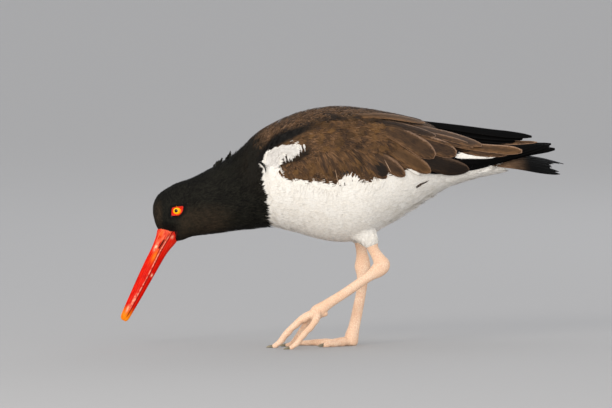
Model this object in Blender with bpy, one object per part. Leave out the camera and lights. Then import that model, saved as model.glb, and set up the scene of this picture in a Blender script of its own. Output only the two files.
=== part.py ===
"""A life-size oystercatcher, still, in the stance of a bird that walks and looks for food.

The bird faces -X, with +Z up and the floor at Z = 0. Its left side is towards -Y.
Feet are on the floor: the right foot stands flat, the left foot is set down on its toe tips.
The trunk, neck and head are one long form, a loft through named stations, parted by thin cuts.
The folded wings lie in pockets of that form. Limbs are lofts along a few named joints.
Tables below are in millimetres, and one function turns them into metres.
"""

import math

import bmesh
import bpy
from mathutils import Vector

MM = 0.001

# Gap between pieces that touch, and how much a cutter is larger than the piece it clears
GAP = 0.4

# Points around one section of each kind of piece
BODY_SIDES = 24
THIGH_SIDES = 12
LIMB_SIDES = 10
TOE_SIDES = 8
CLAW_SIDES = 6
BILL_SIDES = 9
WING_SIDES = 8

# Body stations from the forehead to the tail base: place along X, top, underside, half width
BODY_STATIONS = (
    (-170.0, 127.0, 119.5, 3.0),
    (-168.3, 131.5, 112.5, 7.0),
    (-164.5, 137.0, 105.5, 10.6),
    (-158.0, 142.0, 101.5, 13.4),
    (-148.0, 147.2, 96.0, 15.8),
    (-136.0, 151.3, 98.6, 17.4),
    (-122.0, 158.4, 100.2, 19.4),
    (-108.0, 166.0, 101.8, 23.0),
    (-93.0, 176.5, 104.0, 28.5),
    (-79.0, 190.0, 105.2, 35.0),
    (-64.0, 200.0, 106.8, 41.5),
    (-43.0, 209.5, 103.2, 48.5),
    (-21.0, 215.0, 96.8, 52.5),
    (0.0, 216.5, 94.0, 54.0),
    (20.0, 214.6, 96.5, 53.5),
    (40.0, 211.3, 108.5, 50.5),
    (60.0, 206.8, 121.0, 45.0),
    (80.0, 200.0, 134.5, 37.0),
    (100.0, 185.0, 145.0, 29.0),
    (120.0, 174.5, 152.0, 22.5),
    (140.0, 170.5, 158.0, 18.0),
)

# Outer form of the folded wings: place along X, underside, half width
WING_STATIONS = (
    (-64.0, 106.8, 41.5),
    (-43.0, 103.2, 48.5),
    (-21.0, 96.8, 52.5),
    (0.0, 94.0, 54.0),
    (20.0, 96.5, 53.5),
    (40.0, 108.5, 51.5),
    (60.0, 121.0, 48.0),
    (80.0, 133.0, 42.5),
    (100.0, 143.0, 36.0),
    (120.0, 150.0, 29.0),
    (140.0, 156.0, 22.5),
    (160.0, 162.0, 16.5),
    (180.0, 167.0, 11.5),
    (196.0, 170.0, 8.0),
)

# The widest level of a section, as a share of its height, and how full its corners are
WIDEST_SHARE = 0.52
FULLNESS = 0.9

# Cuts across the body, along X
HEAD_END = -128.0
NECK_END = -72.0
TRUNK_END = 92.0
COVERTS_END = 140.0

# Left wing in side view: place along X, lower edge, upper edge, and the crest of its outer form,
# where that would close over the back
LEFT_WING_EDGES = (
    (-57.0, 158.0, 178.0, 203.2),
    (-53.0, 152.0, 186.0, 205.3),
    (-40.0, 149.0, 196.0, 210.4),
    (-20.0, 147.5, 204.0, 215.1),
    (0.0, 147.0, 207.5, 216.5),
    (30.0, 150.0, 206.5, 213.2),
    (60.0, 155.0, 202.8, 207.3),
    (80.0, 156.0, 199.0, 200.6),
    (96.0, 156.0, 195.6, 196.2),
    (110.0, 156.5, 190.6, 191.1),
    (124.0, 160.5, 186.2, 186.7),
    (142.0, 166.0, 184.4, 184.9),
    (161.0, 171.5, 184.8, 185.3),
    (180.0, 175.0, 185.0, 185.6),
    (191.0, 177.0, 183.0, 183.8),
)
# The right wing lies higher over the rump
RIGHT_WING_EDGES = (
    (-57.0, 158.0, 178.0, 203.2),
    (-53.0, 152.0, 186.0, 205.3),
    (-40.0, 149.0, 196.0, 210.4),
    (-20.0, 147.5, 204.0, 215.1),
    (0.0, 147.0, 207.5, 216.5),
    (30.0, 150.0, 207.2, 213.6),
    (60.0, 155.0, 204.5, 208.8),
    (80.0, 157.0, 202.6, 204.2),
    (96.0, 158.5, 200.6, 201.4),
    (110.0, 162.0, 198.8, 199.5),
    (124.0, 168.0, 196.8, 197.4),
    (142.0, 174.0, 194.1, 194.7),
    (158.0, 178.0, 192.1, 192.7),
    (170.0, 181.5, 190.1, 190.7),
)
WING_CUT = 96.0
TERTIAL_SPLIT = 0.56
WING_SEAM = 0.02
TERTIAL_END = {"left": 161.0, "right": 148.0}
WING_TIP = {"left": 191.0, "right": 170.0}
# Length over which the primaries rise to full height behind the tertials
STEP_LENGTH = 1.0

# Wing thickness: at its middle near the bend, at the tip, along the edges, and how it rounds off between
WING_THICK_FRONT = 8.0
WING_THICK_TIP = 2.6
WING_EDGE_THICK = 1.4
WING_ROUNDING = 0.6
# Where the wing starts to thin along X, and over what length
THINNING_START = -50.0
THINNING_LENGTH = 240.0
# How close to its crest a wing's section may reach, as a share of the height over its middle
STEEPEST = 0.985
# How far a wing's cutter stands out of the body
ROOM_LIFT = 2.5

# Tail, a shallow roof of feathers: place along X, height of its ridge, half width,
# drop to the edge, thickness at the ridge
TAIL_STATIONS = (
    (126.0, 170.0, 11.0, 3.5, 5.5),
    (142.0, 171.0, 15.0, 6.0, 5.0),
    (160.0, 171.5, 19.0, 8.5, 4.0),
    (180.0, 169.0, 22.5, 10.5, 3.0),
    (192.0, 166.0, 23.0, 9.8, 2.2),
    (198.0, 164.4, 18.0, 7.5, 1.6),
)
TAIL_SIDES = 10
# How sharply the roof bends down, and the part of its thickness that its edges keep
TAIL_DROOP = 1.7
TAIL_EDGE_SHARE = 0.25
TAIL_ROUNDING = 0.9

# Bill: where its axis leaves the face, which way it points, and its sections
BILL_ROOT = (-154.4, 104.4)
BILL_DIRECTION = (-0.459, -0.888)
# Distance along the bill, half depth of the whole bill, half width
BILL_SECTIONS = (
    (-7.0, 7.0, 4.6),
    (0.0, 8.4, 5.6),
    (10.0, 8.2, 5.3),
    (20.0, 7.7, 4.7),
    (40.0, 6.9, 3.7),
    (60.0, 5.9, 2.8),
    (74.0, 4.6, 2.1),
    (84.0, 3.9, 1.6),
    (88.5, 3.2, 1.2),
    (90.5, 1.8, 0.8),
)
# Where the two mandibles meet, as a share of the bill's depth, half of the gap there,
# and how full the rounded sides are
UPPER_BILL_SHARE = 0.56
GAPE_SHARE = 0.012
BILL_FULLNESS = 0.75

# Eye: centre height and place, ball and lid ring
EYE_PLACE = (-148.5, 122.8)
EYE_DEPTH = 4.0
EYE_RADIUS = 5.2
EYE_RING_RADIUS = 4.75
EYE_RING_THICK = 0.9
EYE_RING_LIFT = 0.75
EYE_RING_STRETCH = 1.12
# How far the cutter of the ring's seat reaches out of the face
SEAT_REACH = 4.0
# Divisions around and along the eyeball, and around the ring and its tube
BALL_SEGMENTS = (12, 8)
RING_SEGMENTS = (16, 6)

# Limb stations: X, Y, Z, half depth in the plane of the leg, half width across it
LEFT_THIGH = (
    (4.0, -24.0, 128.0, 16.0, 11.0),
    (13.0, -24.0, 114.0, 17.5, 12.0),
    (21.0, -23.5, 102.0, 13.0, 9.5),
    (26.0, -23.0, 93.5, 7.6, 6.4),
    (28.0, -23.0, 89.5, 5.6, 5.0),
)
LEFT_SHANK = (
    (28.2, -23.0, 89.0, 4.9, 3.6),
    (31.0, -22.8, 84.0, 5.0, 3.5),
    (34.2, -22.5, 78.5, 6.2, 4.0),
    (36.0, -22.4, 74.0, 7.5, 4.7),
    (31.5, -22.3, 69.0, 6.6, 4.5),
    (24.0, -22.1, 63.8, 4.7, 3.5),
    (4.0, -21.6, 49.8, 4.3, 2.9),
    (-13.0, -21.2, 38.8, 4.8, 3.4),
    (-21.4, -21.0, 32.2, 7.0, 5.0),
    (-26.5, -21.0, 28.5, 4.6, 4.4),
)
RIGHT_THIGH = (
    (0.0, 20.0, 128.0, 15.0, 11.0),
    (8.0, 19.0, 114.0, 16.0, 11.5),
    (14.0, 17.5, 102.0, 11.5, 9.0),
    (16.5, 16.6, 95.5, 7.0, 6.2),
    (17.0, 16.2, 91.5, 5.4, 5.0),
)
RIGHT_SHANK = (
    (17.2, 16.0, 91.0, 5.0, 3.6),
    (18.3, 15.0, 84.0, 5.0, 3.5),
    (19.0, 14.0, 77.0, 6.2, 4.1),
    (19.0, 13.2, 70.5, 7.2, 4.7),
    (19.0, 12.2, 63.0, 5.4, 4.0),
    (18.4, 10.4, 52.0, 4.6, 3.2),
    (15.0, 7.6, 34.0, 4.8, 3.0),
    (11.4, 5.7, 17.0, 5.2, 3.5),
    (9.4, 5.1, 9.0, 6.2, 5.2),
    (8.8, 5.0, 2.6, 5.8, 5.2),
)
# Where the leg's lower bone starts: the number of the hock's station, and the gap there
# as a share of the way to the next station
HOCK_STATION = 3
HOCK_GAP = 0.05
# Sections that a limb has for each of its stations
SECTIONS_PER_STATION = 2
# How far along a limb's path, in stations, its direction is taken
DIRECTION_STEP = 0.05
# The closing section of a limb's free end: how far out, in radii, and how small
END_REACH = 0.55
END_SHARE = 0.62

# Toes, from the joint to the tip, in the same form as the limbs
TOES = {
    "toe_middle_left": (
        (-25.5, -21.5, 30.5, 4.0, 3.8),
        (-33.5, -21.8, 26.6, 3.9, 3.7),
        (-42.0, -22.2, 20.0, 3.1, 3.0),
        (-49.5, -22.7, 12.5, 3.1, 3.0),
        (-55.5, -23.2, 5.0, 2.7, 2.7),
        (-60.5, -23.6, 1.2, 2.3, 2.4),
    ),
    "toe_outer_left": (
        (-22.5, -24.5, 31.5, 3.6, 3.4),
        (-22.8, -29.5, 26.4, 3.3, 3.2),
        (-27.0, -34.5, 20.0, 2.8, 2.8),
        (-34.0, -38.7, 12.8, 2.8, 2.7),
        (-40.4, -42.0, 5.0, 2.5, 2.5),
        (-45.6, -44.4, 1.1, 2.1, 2.2),
    ),
    "toe_inner_left": (
        (-24.0, -18.8, 30.5, 3.5, 3.3),
        (-29.5, -16.2, 24.5, 3.2, 3.1),
        (-35.0, -13.6, 16.4, 2.7, 2.7),
        (-40.0, -11.2, 8.4, 2.7, 2.6),
        (-44.5, -9.2, 2.6, 2.4, 2.4),
        (-48.8, -7.6, 1.0, 2.0, 2.1),
    ),
    "toe_middle_right": (
        (8.0, 5.0, 3.9, 4.5, 4.1),
        (-1.0, 5.5, 3.4, 3.9, 3.7),
        (-10.0, 6.1, 2.6, 3.1, 3.1),
        (-20.0, 6.7, 2.7, 3.2, 3.2),
        (-30.0, 7.3, 2.1, 2.7, 2.8),
        (-39.5, 7.9, 1.7, 2.3, 2.5),
    ),
    "toe_inner_right": (
        (7.5, 4.5, 3.9, 4.0, 3.6),
        (1.2, -1.4, 3.0, 3.4, 3.3),
        (-4.5, -7.2, 2.3, 2.8, 2.8),
        (-10.5, -12.4, 2.3, 2.8, 2.8),
        (-15.5, -16.4, 1.6, 2.2, 2.3),
    ),
    "toe_outer_right": (
        (7.0, 6.0, 3.9, 4.0, 3.6),
        (-0.2, 11.4, 3.0, 3.4, 3.3),
        (-7.0, 16.6, 2.3, 2.8, 2.8),
        (-14.5, 21.6, 2.4, 2.9, 2.8),
        (-21.5, 26.0, 1.6, 2.2, 2.3),
    ),
}
CLAW_LENGTH = 6.6
CLAW_RADIUS = 1.4
CLAW_RINGS = 5
# Half width against half height, how much it tapers and how late, its slope where it levels out,
# its distance from the toe in gaps, and its height over the floor
CLAW_NARROWNESS = 0.85
CLAW_TAPER = 0.82
CLAW_TAPER_BEND = 1.3
CLAW_SLOPE = -0.08
CLAW_GAPS = 1.5
CLAW_CLEARANCE = 0.1

# The floor's cutter: its length and width, and its depth
FLOOR_SIZE = 400.0
FLOOR_DEPTH = 100.0

# How many sections each piece of the body and of a wing has
HEAD_RINGS = 11
NECK_RINGS = 8
TRUNK_RINGS = 14
COVERTS_RINGS = 6
WING_RINGS = 13
TERTIAL_RINGS = 6
WING_TIP_RINGS = 4


def spline(table, x):
    """Smooth values of a table at x: a cubic through its rows, ordered by the first column."""
    last = len(table) - 1
    i = max(0, min(last - 1, sum(1 for row in table if row[0] <= x) - 1))
    x0, x1 = table[i][0], table[i + 1][0]
    t = max(0.0, min(1.0, (x - x0) / (x1 - x0)))
    before, after = table[max(i - 1, 0)], table[min(i + 2, last)]
    out = []
    for k in range(1, len(table[0])):
        a, b = table[i][k], table[i + 1][k]
        slope_a = (b - before[k]) / (x1 - before[0]) * (x1 - x0)
        slope_b = (after[k] - a) / (after[0] - x0) * (x1 - x0)
        h = 3 * t * t - 2 * t**3
        out.append(
            a * (1 - h) + b * h + slope_a * (t - 2 * t * t + t**3) + slope_b * (t**3 - t * t)
        )
    return out


def along(start, end, count):
    """Evenly spaced values from start to end."""
    return [start + (end - start) * k / (count - 1) for k in range(count)]


def material(name, colour, roughness, metallic=0.0):
    """A Principled material of one colour."""
    made = bpy.data.materials.get(name) or bpy.data.materials.new(name)
    made.use_nodes = True
    shader = made.node_tree.nodes["Principled BSDF"]
    shader.inputs["Base Color"].default_value = (*colour, 1.0)
    shader.inputs["Roughness"].default_value = roughness
    shader.inputs["Metallic"].default_value = metallic
    return made


def loft(name, rings, finish, home):
    """A closed skin of triangles over rings of points in millimetres, capped at both ends."""
    mesh = bpy.data.meshes.new(name)
    shape = bmesh.new()
    placed = [[shape.verts.new(Vector(p) * MM) for p in ring] for ring in rings]
    sides = len(rings[0])
    for one, two in zip(placed, placed[1:]):
        for k in range(sides):
            after = (k + 1) % sides
            shape.faces.new((one[k], one[after], two[after]))
            shape.faces.new((one[k], two[after], two[k]))
    shape.faces.new(placed[0])
    shape.faces.new(placed[-1])
    bmesh.ops.recalc_face_normals(shape, faces=shape.faces)
    shape.to_mesh(mesh)
    shape.free()
    made = bpy.data.objects.new(name, mesh)
    home.objects.link(made)
    if finish:
        mesh.materials.append(finish)
        mesh.shade_smooth()
    return made


def as_cutter(made):
    """Marks an object as a helper that cuts others and isn't part of the bird."""
    made.hide_render = True
    made.display_type = "WIRE"
    return made


def cut(target, *cutters):
    """Takes each cutter away from the target with a Boolean modifier."""
    for cutter in cutters:
        modifier = target.modifiers.new("cut_" + cutter.name, "BOOLEAN")
        modifier.operation = "DIFFERENCE"
        modifier.solver = "EXACT"
        modifier.object = cutter


def body_ring(x):
    """One upright section of the body at x: an egg, widest a little above its middle."""
    top, bottom, half_width = spline(BODY_STATIONS, x)
    level = bottom + (top - bottom) * WIDEST_SHARE
    ring = []
    for k in range(BODY_SIDES):
        angle = 2 * math.pi * (k + 0.5) / BODY_SIDES
        side = math.copysign(abs(math.cos(angle)) ** FULLNESS, math.cos(angle))
        rise = math.copysign(abs(math.sin(angle)) ** FULLNESS, math.sin(angle))
        height = (top - level) if rise > 0 else (level - bottom)
        ring.append((x, side * half_width, level + rise * height))
    return ring


def body_piece(name, start, end, count, finish, home):
    """A length of the body between two upright cuts."""
    return loft(name, [body_ring(x) for x in along(start, end, count)], finish, home)


def wing_ring(x, sign, edges, grow, low_share, high_share):
    """One section of a folded wing: a crescent that lies on the outer form of the body."""
    bottom, half_width = spline(WING_STATIONS, x)
    lower, upper, top = spline(edges, x)
    level = bottom + (top - bottom) * WIDEST_SHARE
    thin = max(0.0, min(1.0, (x - THINNING_START) / THINNING_LENGTH))
    thick = WING_THICK_FRONT + (WING_THICK_TIP - WING_THICK_FRONT) * thin
    ends = []
    for share, push in ((low_share, -grow), (high_share, grow)):
        z = lower + (upper - lower) * share
        half_height = (top - level) if z > level else (level - bottom)
        rise = max(-STEEPEST, min(STEEPEST, (z - level) / half_height))
        ends.append(math.copysign(math.asin(abs(rise) ** (1 / FULLNESS)), rise) + push / half_width)
    outer, inner = [], []
    for k, angle in enumerate(along(ends[0], ends[1], WING_SIDES)):
        v = k / (WING_SIDES - 1)
        rise = math.copysign(abs(math.sin(angle)) ** FULLNESS, angle)
        y = half_width * math.cos(angle) ** FULLNESS
        z = rise * ((top - level) if rise > 0 else (level - bottom))
        reach = math.hypot(y, z)
        depth = WING_EDGE_THICK + (thick - WING_EDGE_THICK) * math.sin(math.pi * v) ** WING_ROUNDING
        swell = 1 + (ROOM_LIFT if grow else 0.0) / reach
        sink = 1 - (depth + grow) / reach
        outer.append((x, sign * y * swell, level + z * swell))
        inner.append((x, sign * y * sink, level + z * sink))
    return outer + inner[::-1]


def wing_piece(name, side, places, finish, home, grow=0.0, low_share=0.0, high_share=1.0):
    """A length of one folded wing through the given places on X, all of its height or a share.

    Behind the end of the tertials the piece takes all of the height.
    """
    sign = -1 if side == "left" else 1
    edges = LEFT_WING_EDGES if side == "left" else RIGHT_WING_EDGES
    rings = [
        wing_ring(x, sign, edges, grow, low_share, high_share if x <= TERTIAL_END[side] else 1.0)
        for x in places
    ]
    return loft(name, rings, finish, home)


def tail_ring(station, grow=0.0):
    """One section of the tail: a thin roof, ridge up, with feathered edges."""
    x, ridge, half_width, drop, thick = station
    over, under = [], []
    for k in range(TAIL_SIDES):
        across = -1 + 2 * k / (TAIL_SIDES - 1)
        z = ridge - drop * abs(across) ** TAIL_DROOP
        rounding = math.sqrt(1 - TAIL_ROUNDING * across * across)
        body = thick * (TAIL_EDGE_SHARE + (1 - TAIL_EDGE_SHARE) * rounding)
        over.append((x, across * (half_width + grow), z + grow))
        under.append((x, across * (half_width + grow), z - body - grow))
    return over + under[::-1]


def limb_rings(stations, sides, first=0.0, last=None, grow=0.0):
    """Sections along a smooth path through the stations, each square to the path."""
    table = [(float(k), *row) for k, row in enumerate(stations)]
    last = len(stations) - 1.0 if last is None else last
    count = max(3, int(round((last - first) * SECTIONS_PER_STATION)) + 1)
    rings = []
    for k, t in enumerate(along(first, last, count)):
        x, y, z, depth, width = spline(table, t)
        ahead = Vector(spline(table, t + DIRECTION_STEP)[:3])
        behind = Vector(spline(table, t - DIRECTION_STEP)[:3])
        tangent = (ahead - behind).normalized()
        across = (Vector((0, 1, 0)) - tangent * tangent.y).normalized()
        out = tangent.cross(across)
        push = -grow if k == 0 else grow if k == count - 1 else 0.0
        centre = Vector((x, y, z)) + tangent * push
        rings.append(
            [
                centre
                + out * (math.sin(2 * math.pi * n / sides) * (depth + grow))
                + across * (math.cos(2 * math.pi * n / sides) * (width + grow))
                for n in range(sides)
            ]
        )
    return rings


def rounded_end(rings):
    """Adds a small closing section so that the free end isn't a flat disc."""
    last = rings[-1]
    centre = sum(last, Vector()) / len(last)
    before = sum(rings[-2], Vector()) / len(last)
    step = (centre - before).normalized()
    radius = (last[0] - centre).length
    closing = [centre + step * radius * END_REACH + (p - centre) * END_SHARE for p in last]
    return rings + [closing]


def bill_ring(section, share_from, share_to, grow=0.0):
    """Half of the bill's section: the upper or the lower mandible, flat where they meet."""
    s, half_depth, half_width = section
    tangent = Vector((BILL_DIRECTION[0], 0, BILL_DIRECTION[1])).normalized()
    up = Vector((tangent.z, 0, -tangent.x))
    centre = Vector((BILL_ROOT[0], 0, BILL_ROOT[1])) + tangent * s
    low = half_depth * (2 * share_from - 1)
    high = half_depth * (2 * share_to - 1)
    tip = high if share_to == 1 else low
    flat = low if share_to == 1 else high
    ring = []
    for k in range(BILL_SIDES):
        angle = math.pi * k / (BILL_SIDES - 1)
        rise = flat + (tip - flat) * math.sin(angle)
        spread = math.copysign(abs(math.cos(angle)) ** BILL_FULLNESS, math.cos(angle)) * half_width
        point = centre + up * rise + Vector((0, spread, 0))
        if grow:
            middle = centre + up * (flat + tip) / 2
            point += (point - middle).normalized() * grow
        ring.append(point)
    return ring


def mandible(name, share_from, share_to, finish, home, grow=0.0):
    """The upper or the lower half of the bill, from inside the face to the tip."""
    rings = [bill_ring(section, share_from, share_to, grow) for section in BILL_SECTIONS]
    return loft(name, rings, finish, home)


def eye_set(side, ball_finish, ring_finish, bird, cutters):
    """An eyeball, its lid ring and the socket that they sit in."""
    sign = -1 if side == "left" else 1
    surface = spline(BODY_STATIONS, EYE_PLACE[0])[2] * MM
    x, z = EYE_PLACE[0] * MM, EYE_PLACE[1] * MM

    bpy.ops.mesh.primitive_uv_sphere_add(
        segments=BALL_SEGMENTS[0],
        ring_count=BALL_SEGMENTS[1],
        radius=EYE_RADIUS * MM,
        location=(x, sign * (surface - EYE_DEPTH * MM), z),
        rotation=(math.pi / 2, 0, 0),
    )
    ball = bpy.context.object
    ball.name = "eye_" + side
    ball.data.materials.append(ball_finish)
    ball.data.shade_smooth()
    claim(ball, bird)

    bpy.ops.mesh.primitive_torus_add(
        major_radius=EYE_RING_RADIUS * MM,
        minor_radius=EYE_RING_THICK * MM,
        major_segments=RING_SEGMENTS[0],
        minor_segments=RING_SEGMENTS[1],
        location=(x, sign * (surface + EYE_RING_LIFT * MM), z),
        rotation=(math.pi / 2, 0, 0),
    )
    ring = bpy.context.object
    ring.name = "eye_ring_" + side
    ring.scale.x = EYE_RING_STRETCH
    ring.data.materials.append(ring_finish)
    ring.data.shade_smooth()
    claim(ring, bird)

    bpy.ops.mesh.primitive_uv_sphere_add(
        segments=BALL_SEGMENTS[0],
        ring_count=BALL_SEGMENTS[1],
        radius=(EYE_RADIUS + GAP) * MM,
        location=ball.location,
        rotation=(math.pi / 2, 0, 0),
    )
    socket = bpy.context.object
    socket.name = "socket_" + side
    claim(as_cutter(socket), cutters)

    recess = (EYE_RING_THICK - EYE_RING_LIFT + GAP) * MM
    reach = SEAT_REACH * MM
    bpy.ops.mesh.primitive_cylinder_add(
        vertices=RING_SEGMENTS[0],
        radius=(EYE_RING_RADIUS + EYE_RING_THICK + GAP) * MM,
        depth=recess + reach,
        location=(x, sign * (surface + (reach - recess) / 2), z),
        rotation=(math.pi / 2, 0, 0),
    )
    seat = bpy.context.object
    seat.name = "ring_seat_" + side
    seat.scale.x = EYE_RING_STRETCH
    claim(as_cutter(seat), cutters)
    return socket, seat


def claim(made, home):
    """Moves an object that an operator made into its own collection."""
    for owner in list(made.users_collection):
        owner.objects.unlink(made)
    home.objects.link(made)


def collection(name):
    """A new collection in the scene."""
    made = bpy.data.collections.new(name)
    bpy.context.scene.collection.children.link(made)
    return made


def leg(side, thigh, bones, white, flesh, floor, bird, cutters):
    """One leg: feathered thigh, shank to the hock, tarsus to the toe joint.

    Returns the cutters of the thigh and of the tarsus.
    """
    loft("thigh_" + side, limb_rings(thigh, THIGH_SIDES), white, bird)
    wider = limb_rings(thigh, THIGH_SIDES, grow=GAP)
    pocket = as_cutter(loft("thigh_pocket_" + side, wider, None, cutters))
    upper = limb_rings(bones, LIMB_SIDES, 0.0, HOCK_STATION)
    shank = loft("shank_" + side, upper, flesh, bird)
    below = HOCK_STATION + HOCK_GAP
    lower = limb_rings(bones, LIMB_SIDES, below)
    tarsus = loft("tarsus_" + side, rounded_end(lower), flesh, bird)
    cut(tarsus, floor)
    grown = limb_rings(bones, LIMB_SIDES, below, grow=GAP)
    joint = as_cutter(loft("tarsus_room_" + side, rounded_end(grown), None, cutters))
    cut(shank, joint)
    return pocket, joint


def toes(side, joint, flesh, horn, floor, bird, cutters):
    """The three front toes of one foot with their claws: the middle toe clears a place for the other two."""
    made = {}
    for which in ("middle", "inner", "outer"):
        stations = TOES[f"toe_{which}_{side}"]
        made[which] = loft(
            f"toe_{which}_{side}", limb_rings(stations, TOE_SIDES), flesh, bird
        )
        tip = Vector(stations[-1][:3])
        heading = (tip - Vector(stations[-2][:3])).normalized()
        cut(claw(f"claw_{which}_{side}", tip, heading, horn, bird), floor)
    grown = limb_rings(TOES[f"toe_middle_{side}"], TOE_SIDES, grow=GAP)
    middle_room = as_cutter(loft(f"toe_room_{side}", grown, None, cutters))
    for which, toe in made.items():
        cut(toe, joint, floor)
        if which != "middle":
            cut(toe, middle_room)


def claw(name, tip, heading, horn, bird):
    """A short blunt claw: it leaves the toe's end square to it and levels out just over the floor."""
    level = Vector((heading.x, heading.y, CLAW_SLOPE)).normalized()
    across = Vector((0, 0, 1)).cross(level).normalized()
    centre = tip + heading * GAP * CLAW_GAPS
    rings = []
    step = CLAW_LENGTH / (CLAW_RINGS - 1)
    for k, t in enumerate(along(0.0, 1.0, CLAW_RINGS)):
        radius = CLAW_RADIUS * (1 - CLAW_TAPER * t**CLAW_TAPER_BEND)
        onward = heading.lerp(level, min(1.0, 2 * t)).normalized()
        upward = onward.cross(across).normalized()
        rise = max(0.0, radius + CLAW_CLEARANCE - centre.z)
        ring = []
        for n in range(CLAW_SIDES):
            angle = 2 * math.pi * n / CLAW_SIDES
            out = across * math.cos(angle) * CLAW_NARROWNESS + upward * math.sin(angle)
            ring.append(centre + Vector((0, 0, rise if k else 0)) + out * radius)
        rings.append(ring)
        centre = centre + onward * step
    return loft(name, rings, horn, bird)


def build():
    for old in list(bpy.data.objects):
        bpy.data.objects.remove(old)
    bird = collection("oystercatcher")
    cutters = collection("cutters")
    cutters.hide_render = True

    hood = material("hood_feathers", (0.016, 0.016, 0.015), 0.75)
    brown = material("back_feathers", (0.085, 0.050, 0.028), 0.7)
    black = material("flight_feathers", (0.014, 0.012, 0.011), 0.6)
    white = material("white_feathers", (0.83, 0.80, 0.75), 0.85)
    flesh = material("leg_skin", (0.76, 0.50, 0.36), 0.55)
    horn = material("claw_horn", (0.14, 0.11, 0.08), 0.4)
    bill_horn = material("bill_horn", (0.80, 0.05, 0.012), 0.3)
    iris = material("eye_iris", (0.90, 0.42, 0.01), 0.1)
    lid = material("eye_lid", (0.80, 0.07, 0.01), 0.45)

    head = body_piece("head", BODY_STATIONS[0][0], HEAD_END - GAP, HEAD_RINGS, hood, bird)
    body_piece("neck", HEAD_END, NECK_END - GAP, NECK_RINGS, hood, bird)
    trunk = body_piece("trunk", NECK_END, TRUNK_END - GAP, TRUNK_RINGS, white, bird)
    coverts = body_piece("tail_coverts", TRUNK_END, COVERTS_END, COVERTS_RINGS, white, bird)

    for side in ("left", "right"):
        front = along(LEFT_WING_EDGES[0][0], WING_CUT - GAP, WING_RINGS)
        upper = along(WING_CUT, TERTIAL_END[side], TERTIAL_RINGS)
        tip = along(TERTIAL_END[side] + STEP_LENGTH, WING_TIP[side], WING_TIP_RINGS)
        behind = upper + tip
        seam = TERTIAL_SPLIT
        wing_piece("wing_" + side, side, front, brown, bird)
        tertials = upper[:-1] + [upper[-1] - GAP]
        wing_piece("tertials_" + side, side, tertials, brown, bird, low_share=seam + WING_SEAM)
        wing_piece("primaries_" + side, side, behind, black, bird, high_share=seam - WING_SEAM)
        places = [front[0] - GAP, *front, *behind, behind[-1] + GAP]
        room = as_cutter(wing_piece("wing_room_" + side, side, places, None, cutters, GAP))
        cut(trunk, room)
        cut(coverts, room)

    loft("tail", [tail_ring(station) for station in TAIL_STATIONS], black, bird)
    first = (TAIL_STATIONS[0][0] - GAP, *TAIL_STATIONS[0][1:])
    grown = [tail_ring(station, GAP) for station in (first, *TAIL_STATIONS[1:])]
    cut(coverts, as_cutter(loft("tail_room", grown, None, cutters)))

    split = UPPER_BILL_SHARE
    mandible("bill_upper", split + GAPE_SHARE, 1.0, bill_horn, bird)
    mandible("bill_lower", 0.0, split - GAPE_SHARE, bill_horn, bird)
    cut(head, as_cutter(mandible("bill_upper_room", split, 1.0, None, cutters, GAP)))
    cut(head, as_cutter(mandible("bill_lower_room", 0.0, split, None, cutters, GAP)))
    for side in ("left", "right"):
        cut(head, *eye_set(side, iris, lid, bird, cutters))

    bpy.ops.mesh.primitive_cube_add(size=MM, location=(0, 0, -FLOOR_DEPTH / 2 * MM))
    floor = bpy.context.object
    floor.name = "floor_cutter"
    floor.scale = (FLOOR_SIZE, FLOOR_SIZE, FLOOR_DEPTH)
    claim(as_cutter(floor), cutters)
    for side, thigh, bones in (
        ("left", LEFT_THIGH, LEFT_SHANK),
        ("right", RIGHT_THIGH, RIGHT_SHANK),
    ):
        pocket, joint = leg(side, thigh, bones, white, flesh, floor, bird, cutters)
        cut(trunk, pocket)
        toes(side, joint, flesh, horn, floor, bird, cutters)


build()
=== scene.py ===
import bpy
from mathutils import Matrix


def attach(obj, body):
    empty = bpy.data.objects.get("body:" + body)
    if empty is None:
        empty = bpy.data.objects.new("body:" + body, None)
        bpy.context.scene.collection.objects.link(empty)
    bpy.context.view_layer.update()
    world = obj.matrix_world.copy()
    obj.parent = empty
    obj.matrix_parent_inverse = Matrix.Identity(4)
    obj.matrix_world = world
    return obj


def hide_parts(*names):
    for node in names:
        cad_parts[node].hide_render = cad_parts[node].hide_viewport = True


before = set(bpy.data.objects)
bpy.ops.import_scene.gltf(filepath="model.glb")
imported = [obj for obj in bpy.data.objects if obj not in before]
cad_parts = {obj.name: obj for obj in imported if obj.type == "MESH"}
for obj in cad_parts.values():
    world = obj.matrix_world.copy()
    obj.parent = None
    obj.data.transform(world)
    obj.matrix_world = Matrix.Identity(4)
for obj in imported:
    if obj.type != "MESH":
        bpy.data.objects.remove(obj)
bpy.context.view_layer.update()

import math

import bpy
import numpy as np
from mathutils import Vector
from mathutils.bvhtree import BVHTree

# The outer form: what the coat's surface looks like from outside, as the solids give it. The skin lies
# under it and the feathers end on it. All places are in millimetres until a mesh is made.
MM = 0.001
SIDES = {"left": -1, "right": 1}

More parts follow.
